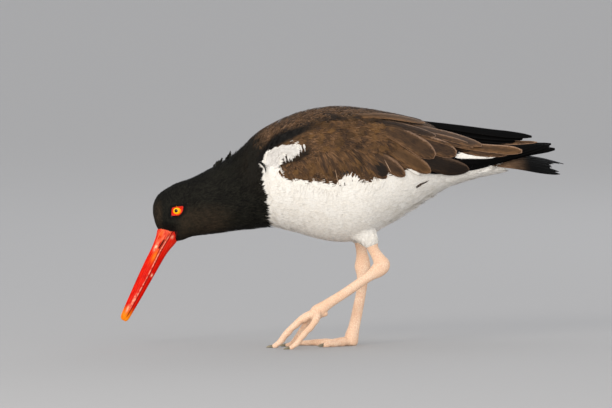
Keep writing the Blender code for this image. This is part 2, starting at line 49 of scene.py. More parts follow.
BODY_FORM = (
    (-170.0, 127.0, 119.5, 3.0),
    (-168.3, 131.5, 112.5, 7.0),
    (-166.3, 135.4, 107.0, 9.2),
    (-164.5, 137.4, 104.6, 10.8),
    (-158.0, 142.0, 101.5, 13.4),
    (-148.0, 147.4, 94.2, 15.8),
    (-141.0, 149.6, 96.2, 16.7),
    (-136.0, 151.3, 98.4, 17.4),
    (-122.0, 158.4, 100.2, 19.4),
    (-108.0, 166.0, 101.8, 23.0),
    (-93.0, 176.5, 104.0, 28.5),
    (-79.0, 190.0, 105.2, 35.0),
    (-64.0, 200.0, 106.8, 41.5),
    (-43.0, 209.5, 103.2, 48.5),
    (-21.0, 215.0, 96.8, 52.5),
    (0.0, 216.5, 94.0, 54.0),
    (20.0, 214.6, 96.5, 53.5),
    (40.0, 211.3, 108.5, 50.5),
    (60.0, 206.8, 121.0, 45.0),
    (80.0, 200.0, 134.5, 37.0),
    (100.0, 185.0, 145.0, 29.0),
    (120.0, 174.5, 152.0, 22.5),
    (140.0, 170.5, 158.0, 18.0),
)
WIDEST_SHARE = 0.52
FULLNESS = 0.9
BODY_AROUND = 96
THIGHS = {
    "left": (
        (6.0, -20.0, 128.0, 15.0, 11.0),
        (14.0, -20.5, 114.0, 15.0, 10.5),
        (21.5, -21.5, 102.5, 11.0, 8.0),
        (26.0, -22.6, 95.0, 7.2, 5.8),
        (28.0, -23.0, 91.0, 5.6, 4.8),
    ),
    "right": (
        (0.0, 20.0, 128.0, 15.0, 11.0),
        (8.0, 19.0, 114.0, 16.0, 11.5),
        (14.0, 17.5, 102.0, 11.5, 9.0),
        (16.5, 16.6, 95.5, 7.0, 6.2),
        (17.0, 16.2, 91.5, 5.4, 5.0),
    ),
}


def curve(table, x):
    """Smooth values of a table at each x: a cubic through its rows, ordered by the first column."""
    rows = np.asarray(table, float)
    at = rows[:, 0]
    x = np.clip(np.atleast_1d(np.asarray(x, float)), at[0], at[-1])
    last = len(at) - 1
    i = np.clip(np.searchsorted(at, x, side="right") - 1, 0, last - 1)
    ahead = np.minimum(np.arange(last + 1) + 1, last)
    behind = np.maximum(np.arange(last + 1) - 1, 0)
    slope = (rows[ahead, 1:] - rows[behind, 1:]) / (at[ahead] - at[behind])[:, None]
    span = (at[i + 1] - at[i])[:, None]
    t = (x - at[i])[:, None] / span
    a, b = rows[i, 1:], rows[i + 1, 1:]
    rise = 3 * t**2 - 2 * t**3
    return (
        a * (1 - rise)
        + b * rise
        + slope[i] * span * (t - 2 * t**2 + t**3)
        + slope[i + 1] * span * (t**3 - t**2)
    )


def ramp(x, low, high):
    """0 below low, 1 above high, smooth between."""
    t = np.clip((np.asarray(x, float) - low) / (high - low), 0, 1)
    return t * t * (3 - 2 * t)


def unit(v):
    return v / np.maximum(np.linalg.norm(v, axis=-1, keepdims=True), 1e-9)


def made_mesh(name, points, faces):
    """A smooth mesh object from points in millimetres and an array or list of faces."""
    sizes = np.array([len(face) for face in faces])
    mesh = bpy.data.meshes.new(name)
    mesh.vertices.add(len(points))
    mesh.vertices.foreach_set("co", (np.asarray(points, float) * MM).ravel())
    mesh.loops.add(int(sizes.sum()))
    mesh.loops.foreach_set("vertex_index", np.concatenate([np.asarray(f) for f in faces]).astype(np.int32))
    mesh.polygons.add(len(sizes))
    mesh.polygons.foreach_set("loop_start", np.concatenate([[0], np.cumsum(sizes)[:-1]]).astype(np.int32))
    mesh.update(calc_edges=True)
    mesh.shade_smooth()
    made = bpy.data.objects.new(name, mesh)
    bpy.context.scene.collection.objects.link(made)
    return made


def tube_faces(rings, sides):
    """The faces of a closed tube of rings, capped at both ends."""
    faces = []
    for r in range(rings - 1):
        for k in range(sides):
            after = (k + 1) % sides
            faces.append((r * sides + k, r * sides + after, (r + 1) * sides + after, (r + 1) * sides + k))
    faces.append(tuple(range(sides))[::-1])
    faces.append(tuple(range((rings - 1) * sides, rings * sides)))
    return faces


def tube(name, rings):
    """A closed tube object from an array of rings of points."""
    return made_mesh(name, rings.reshape(-1, 3), tube_faces(*rings.shape[:2]))


def limb_points(stations, sides, steps):
    """Rings along a smooth path through the stations, each square to the path."""
    table = [(k, *row) for k, row in enumerate(stations)]
    t = np.linspace(0, len(stations) - 1, steps)
    rows = curve(table, t)
    tangent = unit(curve(table, t + 0.03)[:, :3] - curve(table, t - 0.03)[:, :3])
    across = unit(np.array([0, 1.0, 0]) - tangent * tangent[:, 1:2])
    out = np.cross(tangent, across)
    angle = np.linspace(0, 2 * np.pi, sides, endpoint=False)
    return (
        rows[:, None, :3]
        + out[:, None] * (np.sin(angle)[None, :, None] * rows[:, None, 3:4])
        + across[:, None] * (np.cos(angle)[None, :, None] * rows[:, None, 4:5])
    )


def body_points(x):
    """Upright sections of the body: an egg, widest a little above its middle."""
    top, bottom, half_width = curve(BODY_FORM, x).T[:, :, None]
    level = bottom + (top - bottom) * WIDEST_SHARE
    angle = 2 * np.pi * (np.arange(BODY_AROUND) + 0.5) / BODY_AROUND
    side = np.sign(np.cos(angle)) * np.abs(np.cos(angle)) ** FULLNESS
    rise = np.sign(np.sin(angle)) * np.abs(np.sin(angle)) ** FULLNESS
    z = level + rise * np.where(rise > 0, top - level, level - bottom)
    y = side * half_width
    return np.stack([np.broadcast_to(x[:, None], y.shape), y, z], axis=-1)


def joined(name, objects):
    """One object from several."""
    with bpy.context.temp_override(active_object=objects[0], selected_editable_objects=objects):
        bpy.ops.object.join()
    objects[0].name = name
    return objects[0]


def fused(made, voxel, smoothings):
    """Fuses the shells of an object into one even surface, then relaxes it."""
    modifier = made.modifiers.new("fuse", "REMESH")
    modifier.mode = "VOXEL"
    modifier.voxel_size = voxel * MM
    modifier.use_smooth_shade = True
    relax = made.modifiers.new("relax", "SMOOTH")
    relax.factor = 0.5
    relax.iterations = smoothings
    graph = bpy.context.evaluated_depsgraph_get()
    mesh = bpy.data.meshes.new_from_object(made.evaluated_get(graph))
    made.modifiers.clear()
    made.data = mesh
    return made


def points_of(made):
    """The object's points in millimetres and their normals."""
    count = len(made.data.vertices)
    points, normals = np.empty(count * 3), np.empty(count * 3)
    made.data.vertices.foreach_get("co", points)
    made.data.vertices.foreach_get("normal", normals)
    return points.reshape(-1, 3) / MM, normals.reshape(-1, 3)


def set_points(made, points):
    made.data.vertices.foreach_set("co", (points * MM).ravel())
    made.data.update()


stations = np.concatenate([np.linspace(-170, -150, 16), np.linspace(-148, 140, 130)])
shells = [tube("skin", body_points(stations))]
for side in SIDES:
    shells.append(tube("thigh_form_" + side, limb_points(THIGHS[side], 32, 24)))
skin = fused(joined("skin", shells), 1.5, 6)
# The corner of the mouth: place along X at the bill's upper and lower side
GAPE_HIGH, GAPE_LOW = (-148.2, 103.0), (-150.2, 95.5)
BILL_BORDER = ((-168.0, 105.2), (-166.0, 104.0), (-160.0, 103.0), (-150.0, 103.4))


def gape(z):
    """Place along X of the border behind the bill at each height."""
    share = ramp(z, GAPE_LOW[1], GAPE_HIGH[1])
    return GAPE_LOW[0] * (1 - share) + GAPE_HIGH[0] * share


def faced(points):
    """Cuts the head's form back to the border where the bill comes out, and draws it in to the bill's width."""
    x, y, z = points.T
    border = curve(BILL_BORDER, x)[:, 0]
    corner = gape(z)
    ahead = ramp(x, corner + 1.0, corner - 1.0)
    z = z + np.maximum(border - z, 0) * ahead
    near = ramp(z, border + 9, border) * ramp(x, -146, -152) * ramp(np.abs(y), 2, 6)
    return np.column_stack([x, y * (1 - 0.36 * near), z])


points, _ = points_of(skin)
set_points(skin, faced(points))
form_points, form_normals = points_of(skin)
form_faces = np.array([tuple(p.vertices) for p in skin.data.polygons])
form_face_normals = unit(form_normals[form_faces].mean(axis=1))
outer_form = BVHTree.FromPolygons([Vector(p) for p in form_points], form_faces.tolist())

EYE = np.array([-148.5, 15.8, 122.8])
BILL_BASE = np.array([-152.0, 0.0, 102.0])


def from_eye(points):
    """Distance to the nearer eye, in millimetres."""
    return np.linalg.norm(np.stack([points[:, 0], np.abs(points[:, 1]), points[:, 2]], axis=1) - EYE, axis=1)


def coat_depth(points):
    """How thick the coat is over the skin."""
    from_bill = np.linalg.norm(points - BILL_BASE, axis=1)
    depth = 0.5 + 1.0 * ramp(from_bill, 8, 40) + 1.8 * ramp(points[:, 0], -135, -95)
    depth += 0.6 * ramp(points[:, 0], -80, -50)
    depth *= 0.35 + 0.65 * ramp(from_eye(points), 6, 14)
    low_leg = ramp(points[:, 2], 104, 92) * ramp(points[:, 0], 0, 10)
    return depth * (1 - 0.75 * low_leg)


# The markings, the same for the skin and for the coat: a black hood, a brown back, and white from the
# breast to the tail, with a white patch that runs up in front of the wing.
WHITE_EDGE = (
    (-62.0, 60.0),
    (-62.0, 98.0),
    (-63.5, 108.0),
    (-66.0, 117.0),
    (-67.0, 127.0),
    (-69.0, 136.0),
    (-70.6, 147.0),
    (-72.0, 157.2),
    (-71.6, 160.4),
    (-74.0, 163.4),
    (-73.8, 168.0),
    (-66.0, 176.0),
    (-55.0, 182.0),
    (-46.0, 184.5),
    (-39.0, 184.5),
    (-33.0, 179.5),
    (-35.0, 176.0),
    (-42.0, 172.5),
    (-51.0, 172.0),
    (-50.5, 151.5),
    (-37.0, 150.0),
    (-19.0, 149.5),
    (0.0, 149.0),
    (20.0, 151.0),
    (44.0, 157.0),
    (78.0, 160.0),
    (104.0, 166.0),
    (118.0, 190.0),
    (220.0, 190.0),
    (220.0, 60.0),
)
BROWN_FROM, BROWN_FULL = -98.0, -58.0


def into_white(points):
    """Distance into the white area seen from the side, in millimetres, and below nought outside it."""
    corners = np.array(WHITE_EDGE)
    x, z = points[:, 0], points[:, 2]
    inside = np.zeros(len(points), bool)
    distance = np.full(len(points), 1e9)
    for (ax, az), (bx, bz) in zip(corners, np.roll(corners, -1, axis=0)):
        crosses = (az > z) != (bz > z)
        with np.errstate(divide="ignore", invalid="ignore"):
            inside ^= crosses & (x < ax + (z - az) * (bx - ax) / (bz - az))
        along = np.clip(((x - ax) * (bx - ax) + (z - az) * (bz - az)) / ((bx - ax) ** 2 + (bz - az) ** 2), 0, 1)
        distance = np.minimum(distance, np.hypot(x - ax - along * (bx - ax), z - az - along * (bz - az)))
    return np.where(inside, distance, -distance)


def brown_share(points):
    """How brown the dark plumage is: black on the hood, brown from the upper back on."""
    high = ramp(points[:, 2] - 0.45 * points[:, 0], 190, 204)
    return ramp(points[:, 0], BROWN_FROM, BROWN_FULL) * (0.25 + 0.75 * high) * ramp(points[:, 2], 130, 150)


def linear(colour):
    """A hex colour as linear light."""
    parts = [int(colour[k : k + 2], 16) / 255 for k in (1, 3, 5)]
    return (*(p / 12.92 if p <= 0.04045 else ((p + 0.055) / 1.055) ** 2.4 for p in parts), 1.0)


def new_material(name):
    """A material and its node tree, with the Principled shader that comes with it."""
    made = bpy.data.materials.new(name)
    made.use_nodes = True
    return made, made.node_tree, made.node_tree.nodes["Principled BSDF"]


def node(tree, kind, inputs=(), **settings):
    """Adds a node with its settings. Inputs are values, or outputs of other nodes to link."""
    made = tree.nodes.new(kind)
    for name, value in settings.items():
        setattr(made, name, value)
    for name, value in dict(inputs).items():
        if isinstance(value, bpy.types.NodeSocket):
            tree.links.new(value, made.inputs[name])
        else:
            made.inputs[name].default_value = value
    return made


def mixed(tree, share, first, second, blend="MIX"):
    """The output of a colour mix."""
    inputs = {0: share, 6: first, 7: second}
    return node(tree, "ShaderNodeMix", inputs, data_type="RGBA", blend_type=blend).outputs[2]


def computed(tree, operation, *values):
    """The output of a sum between numbers or outputs."""
    return node(tree, "ShaderNodeMath", dict(enumerate(values)), operation=operation).outputs[0]


def set_values(made, name, values):
    """Stores one number per point under a name that a material reads."""
    layer = made.data.attributes.new(name, "FLOAT", "POINT")
    layer.data.foreach_set("value", np.ascontiguousarray(values, np.float32).ravel())

# The skin: one object from the face to the toes, joined from a closed shell for the body and one for each
# leg. Under the coat it lies as deep as the feathers are thick. On the legs and feet it is bare, pale and
# covered in small plates.
LEGS = {
    "left": (
        (27.2, -23.0, 92.5, 5.6, 4.4),
        (28.2, -23.0, 89.0, 5.0, 3.8),
        (31.0, -22.8, 84.0, 5.0, 3.5),
        (34.2, -22.5, 78.5, 6.2, 4.0),
        (36.0, -22.4, 74.0, 7.5, 4.7),
        (31.5, -22.3, 69.0, 6.6, 4.5),
        (24.0, -22.1, 63.8, 4.7, 3.5),
        (4.0, -21.6, 49.8, 4.3, 2.9),
        (-13.0, -21.2, 38.8, 4.8, 3.4),
        (-21.4, -21.0, 32.2, 6.6, 5.0),
        (-26.5, -21.0, 28.5, 4.6, 4.4),
        (-29.0, -21.0, 27.0, 2.6, 2.6),
    ),
    "right": (
        (16.6, 16.2, 95.0, 5.6, 4.4),
        (17.2, 16.0, 91.0, 5.1, 3.8),
        (18.3, 15.0, 84.0, 5.0, 3.5),
        (19.0, 14.0, 77.0, 6.2, 4.1),
        (19.0, 13.2, 70.5, 7.2, 4.7),
        (19.0, 12.2, 63.0, 5.4, 4.0),
        (18.4, 10.4, 52.0, 4.6, 3.2),
        (15.0, 7.6, 34.0, 4.8, 3.0),
        (11.4, 5.7, 17.0, 5.2, 3.5),
        (9.4, 5.1, 9.0, 6.2, 5.2),
        (8.8, 5.0, 2.6, 5.8, 5.2),
        (8.4, 5.0, 0.4, 3.6, 3.4),
    ),
}
TOES = {
    "toe_middle_left": (
        (-23.0, -21.2, 31.5, 4.2, 4.0),
        (-33.5, -21.8, 26.6, 3.9, 3.7),
        (-42.0, -22.2, 20.0, 3.1, 3.0),
        (-49.5, -22.7, 12.5, 3.1, 3.0),
        (-55.5, -23.2, 5.0, 2.7, 2.7),
        (-60.5, -23.6, 1.2, 2.3, 2.4),
    ),
    "toe_outer_left": (
        (-21.5, -22.0, 33.5, 3.8, 3.6),
        (-22.8, -29.5, 26.4, 3.3, 3.2),
        (-27.0, -34.5, 20.0, 2.8, 2.8),
        (-34.0, -38.7, 12.8, 2.8, 2.7),
        (-40.4, -42.0, 5.0, 2.5, 2.5),
        (-45.6, -44.4, 1.1, 2.1, 2.2),
    ),
    "toe_inner_left": (
        (-22.0, -20.0, 32.5, 3.6, 3.4),
        (-29.5, -16.2, 24.5, 3.2, 3.1),
        (-35.0, -13.6, 16.4, 2.7, 2.7),
        (-40.0, -11.2, 8.4, 2.7, 2.6),
        (-44.5, -9.2, 2.6, 2.4, 2.4),
        (-48.8, -7.6, 1.0, 2.0, 2.1),
    ),
    "toe_middle_right": (
        (9.0, 5.0, 4.4, 4.5, 4.1),
        (-1.0, 5.5, 3.4, 3.9, 3.7),
        (-10.0, 6.1, 2.6, 3.1, 3.1),
        (-20.0, 6.7, 2.7, 3.2, 3.2),
        (-30.0, 7.3, 2.1, 2.7, 2.8),
        (-39.5, 7.9, 1.7, 2.3, 2.5),
    ),
    "toe_inner_right": (
        (8.5, 5.0, 4.2, 4.0, 3.6),
        (1.2, -1.4, 3.0, 3.4, 3.3),
        (-4.5, -7.2, 2.3, 2.8, 2.8),
        (-10.5, -12.4, 2.3, 2.8, 2.8),
        (-15.5, -16.4, 1.6, 2.2, 2.3),
    ),
    "toe_outer_right": (
        (8.5, 5.0, 4.2, 4.0, 3.6),
        (-0.2, 11.4, 3.0, 3.4, 3.3),
        (-7.0, 16.6, 2.3, 2.8, 2.8),
        (-14.5, 21.6, 2.4, 2.9, 2.8),
        (-21.5, 26.0, 1.6, 2.2, 2.3),
    ),
}
# The cushion of skin under the joint of the lifted foot
SOLE_PAD = ((-21.0, -21.0, 32.0, 3.4, 3.2), (-17.2, -21.0, 30.6, 3.3, 3.1), (-14.4, -21.0, 30.4, 2.4, 2.4))
PLATE_LENGTH = 2.3
PLATE_RISE = 0.16


def round_end(stations):
    """Two more stations that close a toe's free end in a dome."""
    tip, before = np.array(stations[-1]), np.array(stations[-2])
    ahead = unit(tip[:3] - before[:3])
    added = []
    for reach, width in ((0.5, 0.8), (0.8, 0.45)):
        added.append((*(tip[:3] + ahead * tip[3] * reach), tip[3] * width, tip[4] * width))
    return (*stations, *added)


def toe_points(stations):
    """A toe with plates across its top and a pad under each joint."""
    rings = limb_points(round_end(stations), 28, 150)
    centre = rings.mean(axis=1, keepdims=True)
    out = rings - centre
    length = np.concatenate([[0], np.cumsum(np.linalg.norm(np.diff(centre[:, 0], axis=0), axis=1))])
    upward = unit(out)[:, :, 2:3]
    phase = (length / PLATE_LENGTH) % 1
    plate = (np.minimum(phase, (1 - phase) * 4) - 0.4)[:, None, None]
    pad = np.sin(length / 9.5 * 2 * np.pi)[:, None, None]
    swell = PLATE_RISE * 2 * plate * ramp(upward, 0.1, 0.6) + 0.4 * pad * ramp(-upward, 0.2, 0.9)
    return centre + out * (1 + swell / np.linalg.norm(out, axis=2, keepdims=True))


leg_shells = []
for side in SIDES:
    tubes = [tube("leg_form_" + side, limb_points(LEGS[side], 28, 90))]
    if side == "left":
        tubes.append(tube("sole_pad_form", limb_points(round_end(SOLE_PAD), 24, 30)))
    for name, stations in TOES.items():
        if name.endswith(side):
            tubes.append(tube(name + "_form", toe_points(stations)))
    leg_shells.append(fused(joined("leg_form_" + side, tubes), 0.42, 3))
for shell in leg_shells:
    points, normals = points_of(shell)
    set_points(shell, np.column_stack([points[:, :2], np.maximum(points[:, 2], 0.0)]))
    set_values(shell, "bare", np.ones(len(points)))
socket = 3.5 * ramp(from_eye(form_points), 6.6, 4.6)
set_points(skin, form_points - form_normals * (coat_depth(form_points) + socket)[:, None])
set_values(skin, "bare", np.zeros(len(form_points)))
skin = joined("skin", [skin, *leg_shells])
points, normals = points_of(skin)
set_values(skin, "white", ramp(into_white(points) + 5 * ramp(points[:, 0], -47, -40), -1.5, 1.5))
set_values(skin, "brown", brown_share(points))

# The colours of skin and plumage, as they look in even light
HOOD_BLACK = linear("#0b0a08")
HOOD_OLIVE = linear("#24231c")
BACK_BROWN = linear("#6b4e34")
BACK_DARK = linear("#261b12")
WHITE = linear("#f3efe8")
WHITE_SHADE = linear("#e6e0d6")
LEG_PINK = linear("#f6dabf")
LEG_ROSE = linear("#e3b596")

# Bare leg skin is fleshy and slightly wet-looking. Its cells show where the fine folds between the plates
# are darker and pinker, and a little light goes into it. Under the coat the skin has the coat's colours.
material, tree, shader = new_material("scaled_leg_skin")
where = node(tree, "ShaderNodeTexCoord").outputs["Object"]
cells = node(tree, "ShaderNodeTexVoronoi", {"Vector": where, "Scale": 620.0}, feature="DISTANCE_TO_EDGE")
folds = node(tree, "ShaderNodeMapRange", {"Value": cells.outputs["Distance"], "From Max": 0.16})
patches = node(tree, "ShaderNodeTexNoise", {"Vector": where, "Scale": 90.0, "Detail": 4.0}).outputs["Fac"]
patches = node(tree, "ShaderNodeMapRange", {"Value": patches, "From Min": 0.35, "From Max": 0.7}).outputs[0]
flesh = mixed(tree, patches, LEG_PINK, linear("#efc5a2"))
flesh = mixed(tree, folds.outputs[0], LEG_ROSE, flesh)
white = node(tree, "ShaderNodeAttribute", attribute_name="white").outputs["Fac"]
brown = node(tree, "ShaderNodeAttribute", attribute_name="brown").outputs["Fac"]
bare = node(tree, "ShaderNodeAttribute", attribute_name="bare").outputs["Fac"]
feathered = mixed(tree, white, mixed(tree, brown, HOOD_BLACK, BACK_DARK), WHITE_SHADE)
colour = mixed(tree, bare, feathered, flesh)
height = computed(tree, "MULTIPLY", folds.outputs[0], bare)
bump = node(tree, "ShaderNodeBump", {"Height": height, "Strength": 0.5, "Distance": 0.00025})
tree.links.new(colour, shader.inputs["Base Color"])
tree.links.new(bump.outputs[0], shader.inputs["Normal"])
shader.inputs["Roughness"].default_value = 0.48
shader.inputs["Specular IOR Level"].default_value = 0.35
skin.data.materials.clear()
skin.data.materials.append(material)
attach(skin, "root")
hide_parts("head", "neck", "trunk", "tail_coverts")
for side in SIDES:
    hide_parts("thigh_" + side, "shank_" + side, "tarsus_" + side)
    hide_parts(*(f"toe_{which}_{side}" for which in ("middle", "inner", "outer")))

# The coat's feathers: each is a thin closed blade with a raised shaft, rooted in the skin and lying back over
# the next ones. Small soft ones are three-sided locks, large ones have a full vane on both sides of the shaft.
LOCK = ((-1.0, 0.0), (0.0, 1.0), (1.0, 0.0))
VANE = (
    (-1.0, 0.0),
    (-0.72, 0.7),
    (-0.4, 1.0),
    (-0.1, 1.1),
    (0.0, 1.9),
    (0.1, 1.1),
    (0.4, 1.0),
    (0.72, 0.7),
    (1.0, 0.0),
    (0.45, -0.4),
    (0.0, -1.0),
    (-0.45, -0.4),
)
PATCH = 0.003


def outline(share, root=0.35, widest=0.55, tip=0.12, bluntness=2.2):
    """Half width along a feather against its most: narrow at the root, a rounded tip."""
    rising = root + (1 - root) * np.sin(np.clip(share / widest, 0, 1) * np.pi / 2)
    closing = np.clip((share - widest) / (1 - widest), 0, 1) ** bluntness
    closing = np.sqrt(np.clip(1 - closing, tip**2, 1))
    return rising * closing


def feathers(name, line, up, half, thick, section, camber, material, values, soft=0.6, patch=PATCH):
    """One mesh of many feathers.

    line and up are arrays (feather, step, 3), half and thick (feather, step). values are numbers per feather,
    or per feather and step, that the material reads beside the place along and across each vane. soft is how
    much the blades take the light like the even surface they lie on, as down and barbs do.
    """
    surface = up
    count, steps = half.shape
    across = np.array(section)[:, 0]
    height = np.array(section)[:, 1]
    ahead = np.gradient(line, axis=1)
    side = unit(np.cross(ahead, up))
    up = unit(np.cross(side, ahead))
    lift = thick[..., None] * height - camber * half[..., None] * across**2
    points = line[:, :, None] + side[:, :, None] * (half[..., None] * across)[..., None]
    points = points + up[:, :, None] * lift[..., None]
    around = len(section)
    ring = np.arange(around)
    after = (ring + 1) % around
    quads = np.concatenate(
        [np.stack([r * around + ring, r * around + after, (r + 1) * around + after, (r + 1) * around + ring], 1)
         for r in range(steps - 1)]
    )
    per_feather = steps * around
    offset = np.arange(count)[:, None, None] * per_feather
    quads = (quads[None] + offset).reshape(-1, 4)
    root_cap = (ring[None, None, ::-1] + offset).reshape(-1, around)
    tip_cap = ((steps - 1) * around + ring[None, None] + offset).reshape(-1, around)
    mesh = bpy.data.meshes.new(name)
    mesh.vertices.add(count * per_feather)
    mesh.vertices.foreach_set("co", (points * MM).ravel())
    corners = np.concatenate([quads.ravel(), root_cap.ravel(), tip_cap.ravel()]).astype(np.int32)
    sizes = np.concatenate([np.full(len(quads), 4), np.full(2 * count, around)])
    mesh.loops.add(len(corners))
    mesh.loops.foreach_set("vertex_index", corners)
    mesh.polygons.add(len(sizes))
    mesh.polygons.foreach_set("loop_start", np.concatenate([[0], np.cumsum(sizes)[:-1]]).astype(np.int32))
    mesh.update(calc_edges=True)
    mesh.shade_smooth()
    made = bpy.data.objects.new(name, mesh)
    bpy.context.scene.collection.objects.link(made)

    surface = np.repeat(surface.reshape(-1, 3), around, axis=0)[corners]
    own = np.empty(len(corners) * 3)
    mesh.corner_normals.foreach_get("vector", own)
    own = own.reshape(-1, 3)
    flat = np.empty(len(sizes) * 3)
    mesh.polygons.foreach_get("normal", flat)
    flat = np.repeat(flat.reshape(-1, 3), sizes, axis=0)
    outer = (flat * surface).sum(1) > 0.05
    shaded = unit(surface * soft + own * (1 - soft))
    mesh.normals_split_custom_set(np.where(outer[:, None], shaded, flat))

    share = np.linspace(0, 1, steps)[None, :, None]
    length = np.linalg.norm(np.diff(line, axis=1), axis=2).sum(axis=1)[:, None, None]
    from_edge = np.minimum(half[..., None] * (1 - np.abs(across)), (1 - share) * length)
    shape = (count, steps, around)
    from_side = np.broadcast_to(half[..., None] * across, shape)
    found = {
        "along": share,
        "from_edge": from_edge,
        "barb": share * length - 0.9 * np.abs(from_side),
        "side_mm": from_side,
        "run_mm": share * length,
    }
    for key, value in values.items():
        found[key] = value[..., None] if value.ndim == 2 else value[:, None, None]
    for key, value in found.items():
        set_values(made, key, np.broadcast_to(value, shape))

    root = line[:, 0]
    level, lean = curve([(x, b + (t - b) * WIDEST_SHARE, 0) for x, t, b, _ in BODY_FORM], root[:, 0]).T
    turn = np.arctan2(root[:, 1], root[:, 2] - level) / (2 * np.pi) + 0.5
    reach = (root[:, 0] - root[:, 0].min()) / max(np.ptp(root[:, 0]), 1.0)
    spot = np.stack([turn, reach], axis=1)[:, None, None] * (1 - patch) + patch / 2
    local = np.stack([np.broadcast_to(across / 2, shape), np.broadcast_to(share - 0.5, shape)], axis=3)
    place = (spot + local * patch).reshape(-1, 2)
    layer = mesh.uv_layers.new(name="OFBake")
    layer.data.foreach_set("uv", place[corners].astype(np.float32).ravel())
    mesh.materials.append(material)
    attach(made, "root")
    return made


def split(line, up, half, values, locks, seed, spread=1.0, blunt=0.3):
    """Parts each feather into locks that leave the shaft one after another and end a little unevenly."""
    random = np.random.default_rng(seed)
    count, steps = half.shape
    place = np.tile(np.linspace(-1, 1, locks), count) + random.normal(0, 0.25 / locks, count * locks)
    line, up, half = (np.repeat(a, locks, axis=0) for a in (line, up, half))
    reach = 1 - blunt * np.abs(place) ** 2.2 - random.uniform(0, 0.12, len(place))
    share = np.linspace(0, 1, steps)
    at = share[None] * reach[:, None] * (steps - 1)
    low = np.minimum(at.astype(int), steps - 2)
    part = (at - low)[..., None]
    row = np.arange(len(place))[:, None]
    side = unit(np.cross(np.gradient(line, axis=1), up))
    shaft = line[row, low] * (1 - part) + line[row, low + 1] * part
    aside = side[row, low] * (1 - part) + side[row, low + 1] * part
    above = unit(up[row, low] * (1 - part) + up[row, low + 1] * part)
    wide = half.max(axis=1)[:, None]
    fan = spread * place[:, None] * wide * (0.25 + 0.75 * np.sin(share * np.pi / 2))[None]
    jitter = random.uniform(-0.08, 0.12, (len(place), 1, 1)) * share[None, :, None]
    lines = shaft + aside * fan[..., None] + above * jitter
    lock_half = wide / locks * 1.55 * outline(share, root=0.6, widest=0.35, tip=0.1)[None]
    length = np.linalg.norm(np.diff(line, axis=1), axis=2).sum(axis=1)[:, None]
    values = {key: np.repeat(value, locks, axis=0) for key, value in values.items()}
    values["tone"] = values["tone"] + random.normal(0, 0.12, len(place))
    values["along"] = share[None] * reach[:, None]
    values["from_edge"] = np.minimum(wide * (1 - np.abs(place[:, None])) + 0.3, (reach[:, None] - values["along"]) * length)
    return lines, above, lock_half, values


def on_form(points):
    """The nearest places on the coat's outer surface, and the way up there."""
    places, up = np.empty_like(points), np.empty_like(points)
    for k, point in enumerate(points):
        spot, _, face, _ = outer_form.find_nearest(point)
        places[k] = spot
        up[k] = form_face_normals[face]
    return places, up


def walked(roots, headings, lengths, steps):
    """Lines that run from the roots over the outer form, and the way up along them."""
    place, up = on_form(roots)
    heading = unit(headings - up * (headings * up).sum(1, keepdims=True))
    line, ups = [place], [up]
    for _ in range(steps - 1):
        place, up = on_form(line[-1] + heading * (lengths / (steps - 1))[:, None])
        heading = unit(place - line[-1])
        line.append(place)
        ups.append(up)
    return np.stack(line, axis=1), np.stack(ups, axis=1)


def scattered(spacing, keep, seed):
    """Places on the outer form, as close as the spacing there allows, where keep says so."""
    random = np.random.default_rng(seed)
    corners = form_points[np.concatenate([form_faces[:, [0, 1, 2]], form_faces[:, [0, 2, 3]]])]
    middle = corners.mean(axis=1)
    corners = corners[keep(middle)]
    area = np.linalg.norm(np.cross(corners[:, 1] - corners[:, 0], corners[:, 2] - corners[:, 0]), axis=1) / 2
    density = area / spacing(corners.mean(axis=1)) ** 2
    tries = random.choice(len(corners), int(density.sum() * 5), p=density / density.sum())
    a, b = random.random((2, len(tries), 1))
    flip = a + b > 1
    a, b = np.where(flip, 1 - a, a), np.where(flip, 1 - b, b)
    c = corners[tries]
    points = c[:, 0] + a * (c[:, 1] - c[:, 0]) + b * (c[:, 2] - c[:, 0])
    gaps = spacing(points)
    cell = gaps.max()
    kept, boxes = [], {}
    for k, (point, gap, key) in enumerate(zip(points, gaps, np.floor(points / cell).astype(int))):
        i, j, m = key
        near = (
            n
            for di in (-1, 0, 1)
            for dj in (-1, 0, 1)
            for dm in (-1, 0, 1)
            for n in boxes.get((i + di, j + dj, m + dm), ())
        )
        if all(abs(points[n] - point).max() > gap or ((points[n] - point) ** 2).sum() > gap * gap for n in near):
            kept.append(k)
            boxes.setdefault((i, j, m), []).append(k)
    return points[kept]


def lie_of_coat(points):
    """The way feathers point: back from the bill over the head, along the body, and down the thighs."""
    middle = [(x, (t + b) / 2) for x, t, b, _ in BODY_FORM]
    slope = (curve(middle, points[:, 0] + 4) - curve(middle, points[:, 0] - 4))[:, 0] / 8
    heading = np.stack([np.ones(len(points)), np.zeros(len(points)), slope], axis=1)
    outward = unit(points - BILL_BASE)
    near_bill = ramp(points[:, 0], -128, -146)[:, None]
    heading = unit(heading) * (1 - near_bill) + outward * near_bill
    on_thigh = (ramp(points[:, 2], 116, 100) * ramp(points[:, 0], 2, 12) * ramp(points[:, 0], 42, 34))[:, None]
    return unit(heading * (1 - on_thigh) + np.array([0.25, 0, -1.0]) * on_thigh)


